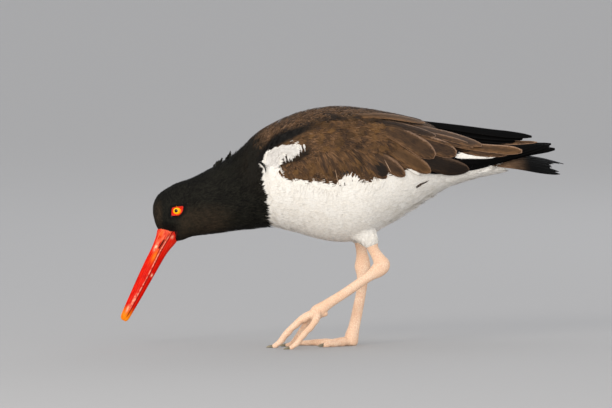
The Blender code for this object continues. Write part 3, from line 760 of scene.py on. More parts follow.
# Wing edges on the left side, seen from the side: place along X, lower edge, upper edge, crest of the form
WING_EDGES = {
    "left": (
        (-57.0, 158.0, 178.0, 203.2),
        (-53.0, 152.0, 186.0, 205.3),
        (-40.0, 149.0, 196.0, 210.4),
        (-20.0, 147.5, 204.0, 215.1),
        (0.0, 147.0, 207.5, 216.5),
        (30.0, 150.0, 206.5, 213.2),
        (60.0, 155.0, 202.8, 207.3),
        (80.0, 156.0, 199.0, 200.6),
        (96.0, 156.0, 195.6, 196.2),
        (110.0, 156.5, 190.6, 191.1),
        (124.0, 160.5, 186.2, 186.7),
        (142.0, 166.0, 184.4, 184.9),
        (161.0, 171.5, 184.8, 185.3),
        (180.0, 175.0, 185.0, 185.6),
        (191.0, 177.0, 183.0, 183.8),
    ),
    "right": (
        (-57.0, 158.0, 178.0, 203.2),
        (-53.0, 152.0, 186.0, 205.3),
        (-40.0, 149.0, 196.0, 210.4),
        (-20.0, 147.5, 204.0, 215.1),
        (0.0, 147.0, 207.5, 216.5),
        (30.0, 150.0, 207.2, 213.6),
        (60.0, 155.0, 204.5, 208.8),
        (80.0, 157.0, 202.6, 204.2),
        (96.0, 158.5, 200.6, 201.4),
        (110.0, 162.0, 198.8, 199.5),
        (124.0, 168.0, 196.8, 197.4),
        (142.0, 174.0, 194.1, 194.7),
        (158.0, 178.0, 192.1, 192.7),
        (170.0, 181.5, 190.1, 190.7),
    ),
}


def under_wing(points, margin):
    """True where a wing covers the body by more than the margin from its lower and front edges."""
    lower, upper, _ = curve(WING_EDGES["left"], points[:, 0]).T
    beside = (points[:, 2] > lower + margin) & (points[:, 2] < upper - margin)
    return beside & (points[:, 0] > -51.5 + margin) & (into_white(points) < -margin)


# Barbs to the millimetre along a shaft, drawn about three times as coarse as real ones so that they show
BARB_PITCH = 2.2


def plumage(name, base, second, roughness, fringe=None, fringe_width=0.8, bump=0.3, inks=(), root=0.8, centre=0.0, gloss=0.3):
    """Feather stuff: two colours that vary from feather to feather, in soft blotches and in streaks along the
    vane, darker at the roots, with fine slanting barbs, a pale worn fringe, the markings' other colours, and
    painted shade and sheen."""
    material, tree, shader = new_material(name)

    def read(key):
        return node(tree, "ShaderNodeAttribute", attribute_name=key).outputs["Fac"]

    def between(value, low, high, at_low=0.0, at_high=1.0):
        inputs = {"Value": value, "From Min": low, "From Max": high, "To Min": at_low, "To Max": at_high}
        return node(tree, "ShaderNodeMapRange", inputs).outputs[0]

    where = node(tree, "ShaderNodeTexCoord").outputs["Object"]
    blotch = node(tree, "ShaderNodeTexNoise", {"Vector": where, "Scale": 85.0, "Detail": 3.0}).outputs["Fac"]
    on_vane = node(
        tree,
        "ShaderNodeCombineXYZ",
        {0: computed(tree, "MULTIPLY", read("side_mm"), 1.6), 1: computed(tree, "MULTIPLY", read("run_mm"), 0.16), 2: computed(tree, "MULTIPLY", read("tone"), 40.0)},
    ).outputs[0]
    streaks = node(tree, "ShaderNodeTexNoise", {"Vector": on_vane, "Scale": 1.0, "Detail": 2.0}).outputs["Fac"]
    share = computed(tree, "MULTIPLY_ADD", read("tone"), 0.5, between(blotch, 0.35, 0.65, 0.0, 0.4))
    share = computed(tree, "ADD", share, between(streaks, 0.3, 0.7, -0.6, 0.6))
    share = node(tree, "ShaderNodeClamp", {0: share}).outputs[0]
    colour = mixed(tree, share, base, second)
    if centre:
        colour = mixed(tree, between(read("from_edge"), 0.8, 4.5, 0.0, centre), colour, linear("#2b2019"))
    for key, ink in inks:
        if key != "dark":
            colour = mixed(tree, read(key), colour, ink)
    wear = node(tree, "ShaderNodeTexNoise", {"Vector": where, "Scale": 600.0, "Detail": 2.0}).outputs["Fac"]
    if fringe:
        edge = computed(tree, "DIVIDE", read("from_edge"), computed(tree, "MULTIPLY_ADD", wear, fringe_width * 2, 0.05))
        on_upper = computed(tree, "MULTIPLY", read("side_mm"), read("upper"))
        edge = computed(tree, "MULTIPLY", edge, between(on_upper, -3.0, 4.0, 1.7, 0.38))
        edge = between(edge, 0.3, 1.0, 1.0, 0.0)
        tipward = between(read("along"), 0.25, 0.6)
        edge = computed(tree, "MULTIPLY", edge, computed(tree, "MULTIPLY", tipward, read("fringe")))
        colour = mixed(tree, edge, colour, fringe)
    if "dark" in dict(inks):
        colour = mixed(tree, read("dark"), colour, dict(inks)["dark"])
    barbs = computed(tree, "SINE", computed(tree, "MULTIPLY", read("barb"), BARB_PITCH * 2 * math.pi))
    shade = computed(tree, "MULTIPLY_ADD", barbs, 0.04, between(wear, 0.3, 0.7, 0.92, 1.06))
    shade = computed(tree, "MULTIPLY", shade, between(read("along"), 0.0, 0.45, root, 1.0))
    shade = node(tree, "ShaderNodeCombineColor", {0: shade, 1: shade, 2: shade}).outputs[0]
    colour = mixed(tree, 1.0, colour, shade, "MULTIPLY")
    tree.links.new(colour, shader.inputs["Base Color"])
    height = computed(tree, "MULTIPLY_ADD", barbs, 0.4, computed(tree, "ADD", wear, streaks))
    normal = node(tree, "ShaderNodeBump", {"Height": height, "Strength": bump, "Distance": 0.00012}).outputs[0]
    tree.links.new(normal, shader.inputs["Normal"])
    shader.inputs["Roughness"].default_value = roughness
    shader.inputs["Specular IOR Level"].default_value = gloss
    return material


# The coat on head, neck and body: small dense feathers in black on the hood, growing in size and turning
# brown on the back, with white ones below. They are rooted a little irregularly, as in life.


def coat_spacing(points):
    """Distance between feather roots: smallest on the face, larger on the neck and body."""
    from_bill = np.linalg.norm(points - BILL_BASE, axis=1)
    gap = 0.75 + 0.45 * ramp(from_bill, 6, 30) + 0.55 * ramp(points[:, 0], -138, -100)
    gap += 1.5 * ramp(points[:, 0], -76, -56)
    gap *= 1 - 0.4 * ramp(points[:, 2], 112, 100) * ramp(points[:, 0], -4, 6)
    return gap * (0.62 + 0.38 * ramp(from_eye(points), 6, 12))


# The outline of the bare rim round the eye, from its centre: corners backward and upward
RIM_OUTLINE = ((6.6, 4.5), (-4.1, 2.9), (-5.0, -4.8), (2.7, -4.4), (6.1, -0.8))


def rim_reach(angle):
    """Distance from the eye's centre to the rim's outline: straight edges with softened corners."""
    corners = np.array(RIM_OUTLINE)
    edge = np.roll(corners, -1, axis=0) - corners
    outward = unit(np.column_stack([-edge[:, 1], edge[:, 0]]))
    outward *= np.sign((outward * corners).sum(1))[:, None]
    off = (outward * corners).sum(1)
    ray = np.cos(angle)[..., None] * outward[:, 0] + np.sin(angle)[..., None] * outward[:, 1]
    return (np.maximum(ray / off, 0) ** 9).sum(-1) ** (-1 / 9)


def outside_rim(points):
    """Distance from the eye's centre against the rim's outline there."""
    back, up = points[:, 0] - EYE[0], points[:, 2] - EYE[2]
    out = np.abs(points[:, 1]) - EYE[1]
    return np.sqrt(back**2 + up**2 + np.where(np.abs(out) > 6, 400, 0)) / rim_reach(np.arctan2(up, back))


def off_bare_parts(points):
    """True outside the bill's base, the eyes and the parts that the wings cover."""
    along_bill = (points - np.array([-154.4, 0, 104.4])) @ np.array([-0.459, 0, -0.888])
    border = curve(BILL_BORDER, points[:, 0])[:, 0]
    behind_bill = (along_bill < -3) | (points[:, 0] > gape(points[:, 2]) + 0.4) | (points[:, 2] > border + 0.5)
    return behind_bill & (outside_rim(points) > 1.03) & ~under_wing(points, 5.0) & (points[:, 2] > 95)


roots = scattered(coat_spacing, off_bare_parts, 11)
gap = coat_spacing(roots)
heading = lie_of_coat(roots)
random = np.random.default_rng(12)
heading = unit(heading + random.normal(0, 0.06, heading.shape))
visible = roots + heading * (gap * 3.2)[:, None]
white = into_white(roots + heading * (gap * 2.3)[:, None]) + random.normal(0, 0.5, len(roots)) > 0
hood_coat = ~white & ((roots[:, 0] < -88) | (visible[:, 2] < 150))
back_coat = ~white & ~hood_coat
# A band of painted shade lies over the white patch, where the back's feathers shade the wing
SHADE_BAND_LINE = ((-74, 168), (-66, 179), (-60, 185.6), (-47, 191.8), (-26, 199.5), (-12, 200.5), (-1, 196.5), (12, 191))


# Height along X of the painted shade under the white patch's upper lobe
LOBE_SHADE = ((-53.0, 168.0), (-46.0, 170.0), (-39.0, 171.5), (-33.5, 175.0), (-28.0, 179.0))


def painted_shade_band(points):
    """1 in the band of painted shade over the white patch and in the painted shade under its upper lobe, fading
    backward.
    """
    x, z = points[:, 0], points[:, 2]
    line = curve(SHADE_BAND_LINE, x)[:, 0]
    width = 6.0 - 3.8 * ramp(x, -62, -20)
    band = ramp(np.abs(z - line), width * 1.6, width * 0.5) * ramp(x, -78, -72) * (1 - 0.6 * ramp(x, -40, -8))
    band = band * ramp(x, 14, 6)
    line = curve(LOBE_SHADE, x)[:, 0]
    under = ramp(np.abs(z - line), 4.5, 1.5) * ramp(x, -55, -51) * ramp(x, -25, -30)
    return np.maximum(band, 0.85 * under)


def coat_piece(name, chosen, reach, width, lift, thick, locks, finish, seed, soft, steps=4, bow=1.5):
    """A part of the coat: feathers at the chosen roots, each parted into locks."""
    random = np.random.default_rng(seed)
    share = np.linspace(0, 1, steps)
    near_eye = 0.6 + 0.4 * ramp(outside_rim(roots[chosen]), 1.1, 1.9)
    line, up = walked(roots[chosen], heading[chosen], gap[chosen] * reach * near_eye, steps)
    clear = (outside_rim(line[:, -1]) > 1.0) & ~(under_wing(line[:, -1], 1.5) & (line[:, -1, 0] < -26))
    line, up, lift, wide = line[clear], up[clear], lift[clear], (gap[chosen] * width)[clear]
    depth = coat_depth(line[:, 0])[:, None]
    bows = 1.3 + (bow - 1.3) * ramp(into_white(line[:, 0]), 0, 4)[:, None] if finish is white_feather else bow
    rise = -depth * (1 - share) ** bows + lift[:, None] * share**2
    line = line + up * rise[..., None]
    wide = wide * random.uniform(0.85, 1.15, len(line))
    half = wide[:, None] * outline(share)[None]
    x, y, z = line[:, -1].T
    # Painted sheen: a brown tint on the cheeks and the brow, where light falls on the black hood
    cheek = ramp(x, -152, -138) * ramp(x, -88, -112) * ramp(z, 134, 118)
    brow = 1.6 * ramp(x, -160, -165) * ramp(z, 138, 124)
    values = {
        "tone": random.random(len(wide)),
        "brown": brown_share(line[:, -1]),
        "painted_sheen": np.maximum(cheek, brow) * random.uniform(0.3, 1.0, len(wide)),
    }
    values["hood"] = ramp(x + 0.8 * (z - 180) + random.normal(0, 4.0, len(wide)), -48, -77)
    values["fringe"] = random.uniform(0.5, 1.0, len(wide)) * (1 - values["hood"])
    line, up, half, values = split(line, up, half, values, locks, seed)
    # Painted shade: feathers are darkened at random along the top midline and in the band over the white patch; beside
    # the eye's rim they are darkened too
    ridge = ramp(np.abs(line[..., 1]), 16, 5) * random.uniform(0.1, 0.9, (len(line), 1))
    by_eye = 0.9 * ramp(outside_rim(line.reshape(-1, 3)), 1.9, 1.2).reshape(half.shape)
    values["dark"] = np.maximum(np.maximum(painted_shade_band(line.reshape(-1, 3)).reshape(half.shape), ridge), by_eye)
    depth = np.full(half.shape, thick) * (1 - 0.6 * share)[None]
    made = feathers(name, line, up, half, depth, LOCK, 0.0, finish, values, soft)
    return made


# The dark inks of the hood's and back's feathers carry painted shade along the top midline and in the band over the
# white patch; the hood's brown-tinted ink is painted sheen on the cheeks and brow
inks = (("brown", BACK_DARK), ("painted_sheen", linear("#382e22")), ("dark", linear("#0a0908")))
hood_feather = plumage("hood_feather", HOOD_BLACK, HOOD_OLIVE, 0.75, bump=0.3, inks=inks, gloss=0.12)
inks = (("dark", linear("#0c0907")), ("hood", linear("#1a1711")))
fringe = linear("#96765c")
back_feather = plumage("back_feather", BACK_BROWN, BACK_DARK, 0.6, fringe, 0.9, inks=inks, centre=0.75, gloss=0.13)
white_feather = plumage("white_feather", WHITE, linear("#ece6dc"), 0.85, bump=0.15, root=0.97, gloss=0.2)


def lifts(chosen, low, high):
    return random.uniform(low, high, int(chosen.sum()))


face = hood_coat & (roots[:, 0] < -128)
neck = hood_coat & ~face
breast = white & (roots[:, 0] < 2)
rear = white & ~breast
# Under the tail the coat thins out, where longer coverts take over
rear &= roots[:, 0] < np.random.default_rng(40).uniform(112, 136, len(roots))
coat_piece("coat_face", face, 3.8, 0.95, lifts(face, 0.0, 0.15), 0.12, 3, hood_feather, 31, 0.6)
ruffled = ramp(roots[:, 0], -122, -110) * ramp(roots[:, 0], -88, -98) * ramp(roots[:, 2], 150, 160)
rise = lifts(neck, 0.0, 0.2) + ruffled[neck] * lifts(neck, 0, 1.6)
coat_piece("coat_neck", neck, 4.6, 0.95, rise, 0.1, 3, hood_feather, 32, 0.7, bow=2.2)
# Tufts that stand up on the nape: place along X, count and length
TUFTS = (
    (-114.8, 3, 2.4),
    (-112.6, 4, 4.6),
    (-110.8, 3, 4.0),
    (-108.8, 4, 4.4),
    (-104.0, 3, 2.2),
    (-102.4, 4, 3.8),
    (-100.8, 4, 5.2),
)
places, reach = [], []
for x, count, length in TUFTS:
    y = random.uniform(-4.5, 4.5, count)
    places.append(np.stack([x + random.normal(0, 0.3, count), y, 190 + 0 * y], axis=1))
    reach.append(length * random.uniform(0.8, 1.2, count))
places, reach = np.concatenate(places), np.concatenate(reach)
tops = [outer_form.ray_cast(Vector(place), Vector((0, 0, -1)))[0] for place in places]
share = np.linspace(-0.25, 1, 6)
way = unit(np.array([0.1, 0, 1]) + random.normal(0, 0.08, (len(places), 3)))
line = np.array(tops)[:, None] + way[:, None] * (reach[:, None] * share)[..., None]
line[..., 0] += 0.9 * np.maximum(share, 0) ** 2
facing = unit(np.array([-0.4, -1, 0]) * random.choice([-1, 1], (len(places), 1)) + random.normal(0, 0.3, (len(places), 3)))
half = np.full(len(places), 0.75)[:, None] * outline(np.linspace(0, 1, 6))[None]
values = {"tone": random.random(len(places))}
for key in ("brown", "painted_sheen", "dark"):
    values[key] = np.zeros(len(places))
line, facing, half, values = split(line, np.repeat(facing[:, None], 6, axis=1), half, values, 4, 38)
nape = feathers("nape_tufts", line, facing, half, np.full(half.shape, 0.1), LOCK, 0.0, hood_feather, values)
rise = lifts(back_coat, 0.1, 0.4)
coat_piece("coat_back", back_coat, 4.4, 1.2, rise, 0.16, 7, back_feather, 33, 0.65, bow=1.8)
wispy = ramp(roots[:, 0], 24, 44) * ramp(roots[:, 0], 84, 70) * ramp(roots[:, 2] - 0.45 * roots[:, 0], 112, 98)
wispy = wispy * (random.random(len(roots)) < 0.3) * random.uniform(0.5, 3.5, len(roots))
white_parts = (
    ("coat_breast", breast, 34),
    ("coat_flank_left", rear & (roots[:, 1] < 0), 35),
    ("coat_flank_right", rear & (roots[:, 1] >= 0), 36),
)
for name, chosen, seed in white_parts:
    rise = lifts(chosen, 0.0, 0.1) + wispy[chosen]
    coat_piece(name, chosen, 5.0, 1.35, rise, 0.06, 7, white_feather, seed, 0.92, steps=5, bow=4.0)
low = roots[:, 2] - 0.62 * roots[:, 0] < 89
wisps = rear & low & (roots[:, 0] > 38) & (roots[:, 0] < 72) & (np.abs(roots[:, 1] + 2) < 14)
wisps &= random.random(len(roots)) < 0.35
rise = lifts(wisps, 0.9, 3.6)
coat_piece("vent_wisps", wisps, 5.6, 0.6, rise, 0.1, 4, white_feather, 37, 0.9, steps=6, bow=3.0)

# The folded wings: rows of coverts over flight feathers, all laid on the wing's outer form. Each feather is
# placed by its tip, seen from the left side, and the right wing takes the same plan on its own edges.
WING_FORM = (
    (-64.0, 106.8, 41.5),
    (-43.0, 103.2, 48.5),
    (-21.0, 96.8, 52.5),
    (0.0, 94.0, 54.0),
    (20.0, 96.5, 53.5),
    (40.0, 108.5, 51.5),
    (60.0, 121.0, 48.0),
    (80.0, 133.0, 42.5),
    (100.0, 143.0, 36.0),
    (120.0, 150.0, 29.0),
    (140.0, 156.0, 22.5),
    (160.0, 162.0, 16.5),
    (180.0, 167.0, 11.5),
    (196.0, 170.0, 8.0),
)
STEEPEST = 0.985
# The right wing is shorter behind this place on X, by this share, and its feathers lie a little lower
RIGHT_FROM, RIGHT_SHARE = 60.0, 0.84
RIGHT_LEVEL = 0.93
# How steeply feathers point below the horizontal, in degrees, along the wing's lower and upper edges
LOWER_LIE = ((-57, 84), (-46, 80), (-36, 72), (-10, 74), (10, 76), (30, 66), (44, 58), (70, 44), (100, 22), (195, -8))
UPPER_LIE = ((-57, -34), (-40, -24), (-20, -8), (0, 4), (30, 8), (60, 10), (100, 14), (130, 12), (195, 4))


def on_wing(side, x, z, planned=True):
    """Places on a folded wing's outer form, and the way out there, from places on the left wing's side view."""
    edges = WING_EDGES[side]
    if side == "right" and planned:
        lower, upper, _ = curve(WING_EDGES["left"], x.ravel()).T
        share = (z.ravel() - lower) / (upper - lower) * RIGHT_LEVEL
        x = np.where(x > RIGHT_FROM, RIGHT_FROM + (x - RIGHT_FROM) * RIGHT_SHARE, x)
        lower, upper, _ = curve(edges, x.ravel()).T
        z = (lower + share * (upper - lower)).reshape(x.shape)
    shape = x.shape
    x, z = x.ravel(), z.ravel()

    def section(x, angle):
        bottom, half_width = curve(WING_FORM, x).T
        crest = curve(edges, x)[:, 2]
        level = bottom + (crest - bottom) * WIDEST_SHARE
        rise = np.sign(angle) * np.abs(np.sin(angle)) ** FULLNESS
        y = SIDES[side] * half_width * np.abs(np.cos(angle)) ** FULLNESS
        return np.stack([x, y, level + rise * np.where(rise > 0, crest - level, level - bottom)], axis=-1)

    bottom = curve(WING_FORM, x)[:, 0]
    crest = curve(edges, x)[:, 2]
    level = bottom + (crest - bottom) * WIDEST_SHARE
    rise = np.clip((z - level) / np.where(z > level, crest - level, level - bottom), -STEEPEST, STEEPEST)
    angle = np.sign(rise) * np.arcsin(np.abs(rise) ** (1 / FULLNESS))
    place = section(x, angle)
    backward = section(x + 1, angle) - section(x - 1, angle)
    upward = section(x, angle + 0.03) - section(x, angle - 0.03)
    out = unit(np.cross(backward, upward)) * -SIDES[side]
    return place.reshape(*shape, 3), out.reshape(*shape, 3)


def lie_on_wing(x, z):
    """The lie of the coverts, in degrees below the horizontal."""
    lower, upper, _ = curve(WING_EDGES["left"], x).T
    share = np.clip((z - lower) / (upper - lower), 0, 1) ** 0.8
    return curve(LOWER_LIE, x)[:, 0] * (1 - share) + curve(UPPER_LIE, x)[:, 0] * share


def wing_lines(side, tips, angles, lengths, bends, depths, lifts, steps):
    """Feather lines on a wing that end at the tips, with roots deeper than tips."""
    share = np.linspace(0, 1, steps)
    angle = np.radians(angles[:, None] + bends[:, None] * (1 - share)[None])
    step = (lengths / (steps - 1))[:, None]
    run = np.cumsum((np.cos(angle) * step)[:, ::-1], axis=1)[:, ::-1]
    fall = np.cumsum((np.sin(angle) * step)[:, ::-1], axis=1)[:, ::-1]
    run = np.concatenate([run[:, 1:], np.zeros((len(tips), 1))], axis=1)
    fall = np.concatenate([fall[:, 1:], np.zeros((len(tips), 1))], axis=1)
    place, out = on_wing(side, tips[:, :1] - run, tips[:, 1:] + fall)
    rise = lifts[:, None] - (lifts + depths)[:, None] * (1 - share)[None] ** 1.3
    return place + out * rise[..., None], out


def spread(low, high, gap, seed):
    """Even random places in a box of the side view, no two closer than the gap."""
    random = np.random.default_rng(seed)
    kept = np.empty((0, 2))
    for point in random.uniform(low, high, (9000, 2)):
        if not len(kept) or ((kept - point) ** 2).sum(1).min() > gap * gap:
            kept = np.vstack([kept, point])
    return kept


# The coverts' dark ink is partly darker feathers and partly painted shade
inks = (("rust", linear("#70502c")), ("dark", linear("#120f0c")))
fringe = linear("#a4836a")
brown_feather = plumage("wing_covert", linear("#33241a"), linear("#7c5a3b"), 0.6, fringe, 0.9, 0.3, inks, 0.8, 0.75, 0.14)
# The shoulder patch's white feathers are painted greyer than the breast's: painted shade over the patch
shaded_patch_feather = plumage("shoulder_white_feather", linear("#e0dcd7"), linear("#c6c0b9"), 0.85, bump=0.15, root=0.9, gloss=0.15)
pale_feather = plumage("pale_feather_edge", linear("#a8876a"), linear("#c4a98e"), 0.6, gloss=0.14)
black = linear("#030303")
black_feather = plumage("flight_feather", black, linear("#070606"), 0.5, linear("#15110e"), 0.5, 0.2, gloss=0.05)


def covert_set(name, side, tips, length, half, lift, locks, fringe, seed, angles=None, bend=-8.0, finish=None, depth=2.4):
    """A group of coverts that follow the wing's lie, or the given angles, parted into locks."""
    steps, turn = 8, 5.0
    soft, slot = (0.88, "body_feathers") if finish else (0.6, "wing_feathers")
    finish = finish or brown_feather
    random = np.random.default_rng(seed)
    count = len(tips)
    angles = lie_on_wing(tips[:, 0], tips[:, 1]) if angles is None else angles
    angles = angles + random.normal(0, turn, count)
    lengths = length * random.uniform(0.88, 1.14, count)
    lifts = lift + random.uniform(0, 0.35, count)
    bends, depths = np.full(count, bend), np.full(count, depth)
    line, out = wing_lines(side, tips, angles, lengths, bends, depths, lifts, steps)
    share = np.linspace(0, 1, steps)
    wide = half * random.uniform(0.88, 1.15, count)[:, None] * outline(share)[None]
    # Painted shade: coverts near the wing's upper edge and in the band over the white patch are darkened; one in five,
    # at random, is a darker feather
    top = curve(WING_EDGES["left"], tips[:, 0])[:, 1]
    ridge = 0.8 * ramp(tips[:, 1] - top, -7, -1)
    values = {
        "tone": random.random(count),
        "fringe": fringe * random.uniform(0.1, 1.0, count),
        "dark": np.maximum(ridge, 0.4 * (random.random(count) < 0.2)),
        "rust": 0.8 * random.random(count) ** 2,
    }
    line, out, wide, values = split(line, out, wide, values, locks, seed)
    band = painted_shade_band(line.reshape(-1, 3)).reshape(wide.shape)
    values["dark"] = np.maximum(values["dark"][:, None], band)
    thick = np.broadcast_to(0.14 * (1 - 0.5 * share)[None], wide.shape)
    made = feathers(name, line, out, wide, thick, LOCK, 0.0, finish, values, soft)
    return made


def blades(name, side, plans, finish, seed, fringe=1.0, planned=True, shape=(0.55, 0.6, 0.16), surface=None):
    """Large feathers with whole vanes: each plan is the points of its shaft in side view, its half width,
    how far it stands out, and its tone, from 0 to 1 for dark to light brown and below 0 toward black."""
    random = np.random.default_rng(seed)
    share = np.linspace(0, 1, 22)
    lines, outs = [], []
    for points, _, lift, _ in plans:
        path = np.array(points, float)
        length = np.concatenate([[0], np.cumsum(np.hypot(*np.diff(path, axis=0).T))])
        at = curve(np.column_stack([length / length[-1], path]), share)
        place, out = surface(at[:, 0], at[:, 1]) if surface else on_wing(side, at[:, 0], at[:, 1], planned)
        rise = lift - 2.2 * (1 - share) ** 2
        lines.append(place + out * rise[:, None])
        outs.append(out)
    half = np.array([plan[1] for plan in plans])[:, None] * outline(share, *shape)[None]
    half = half * (1 + random.normal(0, 0.015, half.shape))
    values = {
        "tone": np.array([max(plan[3], 0) for plan in plans]),
        "fringe": fringe * random.uniform(0.3, 1.0, len(plans)),
        "upper": np.full(len(plans), float(SIDES[side])),
        "dark": np.array([max(-plan[3], 0) for plan in plans]),
        "rust": np.array([0.5 * max(plan[3] - 0.45, 0) for plan in plans]),
    }
    thick = np.broadcast_to(0.35 * (1 - 0.6 * share)[None], half.shape)
    made = feathers(name, np.array(lines), np.array(outs), half, thick, VANE, 0.06, finish, values, 0.35, 0.02)
    return made


# The large feathers of a wing, from the tertials that lie on top to the primaries under them. Each is the
# points of its shaft in side view, half width, how far it stands out, and how light its brown is.
TERTIALS = (
    (((88, 182), (122, 176.2), (150, 174.2)), 3.8, -0.4, 0.2),
    (((80, 189), (120, 181.0), (162, 176.2)), 5.2, 0.1, 0.75),
    (((40, 199), (72, 186), (102.5, 175)), 8.6, 0.6, 0.35),
    (((46, 203), (85, 193), (125.5, 181)), 7.6, 1.1, 0.5),
    (((46, 199), (85, 189), (117.5, 180.2)), 5.8, 1.15, 0.45),
    (((20, 206), (50, 200), (84, 190)), 5.0, 1.2, -0.35),
    (((28, 202), (55, 190), (83, 172.8)), 9.0, 1.3, 0.55),
    (((10, 209), (40, 207.5), (74, 201)), 6.0, 1.6, 0.9),
)
GREATER_COVERTS = (
    (((38, 179), (52, 171.5), (67, 164)), 6.0, -0.9, 0.6),
    (((30, 190), (52, 180), (76, 168)), 7.5, -0.7, 0.6),
    (((0, 176), (14, 165), (27, 150.5)), 6.0, -0.5, 0.4),
    (((8, 178), (25, 166), (40, 154)), 6.2, -0.3, 0.3),
    (((22, 171), (31.5, 164.5), (40.8, 157.2)), 7.0, -0.05, -0.75),
    (((22, 180), (40, 168), (56.5, 155.5)), 6.2, 0.1, 0.5),
    (((38, 184), (58, 172.5), (79.5, 158.5)), 6.8, 0.2, 0.9),
    (((58, 178), (80, 168.5), (97, 163), (114, 160.2)), 8.2, 0.5, -0.7),
)
# Pale edges of two coverts that stand up and catch the light
PALE_EDGES = (
    (((37.6, 171.6), (40.8, 165.2), (44.0, 158.6)), 0.3, 1.1, 0.5),
    (((-6.2, 163.5), (-4.4, 155.0), (-2.4, 147.5)), 0.25, 1.1, 0.5),
)
WHITE_BAR = (
    (((84, 175.6), (104, 174.6), (138, 171.2)), 4.2, -0.75, 0.5),
    (((48, 178), (60, 167), (70, 156)), 6.0, -1.2, 0.5),
)
SECONDARIES = (
    (((40, 174), (75, 164), (104, 159.5)), 6.0, -1.6, 0.3),
    (((44, 178), (85, 168), (118, 162.5)), 6.0, -1.5, 0.3),
    (((50, 182), (90, 172), (130, 168)), 6.0, -1.4, 0.3),
)
LEFT_PRIMARIES = (
    (((70, 162), (114, 160.5), (138, 167), (155, 172), (171, 176), (192, 178)), 3.6, -1.4, 0.2),
    (((70, 165), (114, 163.5), (138, 169.5), (160, 175.5), (187, 182.0)), 4.2, -1.2, 0.2),
    (((72, 168), (114, 167), (140, 173), (181, 182.5)), 4.2, -1.0, 0.3),
    (((74, 171), (114, 170), (140, 175.5), (172, 181.8)), 4.2, -0.9, 0.3),
    (((76, 174), (114, 173), (140, 177), (163, 180.5)), 4.2, -0.8, 0.4),
    (((78, 177), (114, 177), (152, 179)), 4.4, -0.7, 0.4),
    (((80, 181), (114, 181), (142, 181)), 4.6, -0.6, 0.4),
)
RIGHT_PRIMARIES = (
    (((60, 178), (100, 172), (136, 178.5)), 5.0, -1.4, 0.4),
    (((60, 182), (100, 177), (143, 181)), 5.0, -1.2, 0.4),
    (((60, 186), (100, 182), (150, 183)), 4.8, -1.0, 0.3),
    (((60, 190), (100, 187), (157, 184.6)), 4.6, -0.8, 0.3),
    (((60, 194), (100, 191), (163, 186.3)), 4.4, -0.4, 0.2),
)
FAR_TERTIAL = ((((104, 190), (149, 184.0), (176, 184)), 2.4, -0.4, 0.3),)
# Primaries of the right wing that cross over the rump, so that their inner halves show above the left wing
CROSSED = (
    (((60, 185), (110, 181), (150, 180.6), (172, 182.0), (188.5, 183.4)), 3.4, -2.4, 0.2),
    (((60, 192), (100, 188), (135, 186.0), (158, 184.4)), 4.2, -1.6, 0.3),
    (((52, 198), (90, 192.5), (130, 187.4), (156, 185.0)), 4.2, -0.8, 0.8),
    (((46, 202.5), (84, 196.0), (125, 190.0), (163, 187.4)), 4.0, 0.0, 0.3),
    (((44, 204.5), (76, 200.2), (110, 195.6), (140, 191.6), (171, 188.4)), 3.7, 0.7, 0.1),
)

# White fluff that curls up from the flank over the wing's lower edge: place along X and how high it reaches
FLUFF = (
    (-40, 149.6),
    (-34, 150.2),
    (-28, 149.6),
    (-20, 147.6),
    (-10, 144.5),
    (-4, 147.0),
    (1, 155.5),
    (7, 160.0),
    (14, 159.0),
    (19, 152.0),
    (30, 151.2),
    (40, 153.6),
)
DASH = np.array([(-52.6, 154.0), (-53.4, 155.6), (-54.2, 157.0)])
# Tips of the hair-like strands that hang from the shoulder patch's upper lobe
STRANDS = np.array([
    (-50.2, 167.0),
    (-49.0, 166.2),
    (-47.6, 168.0),
    (-46.4, 167.2),
    (-45.0, 168.6),
    (-43.6, 168.2),
    (-42.4, 170.4),
    (-41.0, 171.0),
    (-39.4, 173.0),
    (-37.6, 172.6),
    (-35.4, 175.0),
    (-32.4, 176.6),
])
# Rows of coverts: the height of their tips along X, at the wing's lower edge and where the long ones begin
LOWEST_TIPS = (
    (-50, 153),
    (-42, 150),
    (-28, 149.5),
    (-18, 147.5),
    (-9, 143.5),
    (-3, 143.5),
    (0, 150),
    (4, 154.5),
    (13, 156),
    (18, 152),
    (27, 151),
    (36, 154),
)
MIDDLE_TIPS = ((-45, 181), (-33, 180), (-10, 178.5), (10, 178), (30, 181), (60, 186))


def over_rump(x, z):
    """Places across the rump where feathers stand on edge, and the way their vanes face."""
    y = 9 - 11 * ramp(x, 50, 165)
    return np.stack([x, y, z], axis=-1), np.tile(unit(np.array([0, -0.82, 0.57])), (len(x), 1))


def row(heights, low, high, gap, seed, above=0.0, wobble=0.7):
    """Tips of a row of feathers, seen from the side."""
    random = np.random.default_rng(seed)
    x = np.arange(low, high, gap)
    x = x + random.normal(0, 0.12 * gap, len(x))
    return np.stack([x, curve(heights, x)[:, 0] + above + random.normal(0, wobble, len(x))], axis=1)


def off_white(tips):
    """The tips that lie outside the white patch and below the wing's upper edge."""
    flat = np.stack([tips[:, 0], np.zeros(len(tips)), tips[:, 1]], axis=1)
    upper = curve(WING_EDGES["left"], tips[:, 0])[:, 1]
    return tips[(into_white(flat) < -0.8) & (tips[:, 1] < upper + 1)]


def lobe_lie(x, z):
    """How the shoulder patch's feathers point, in degrees below the horizontal: up its front, over, and down."""
    up_front = -68 + 50 * ramp(x, -72, -46)
    return up_front + (78 - up_front) * ramp(z, 178.5, 173.5) * ramp(x, -55, -50) * ramp(x, -33, -37)


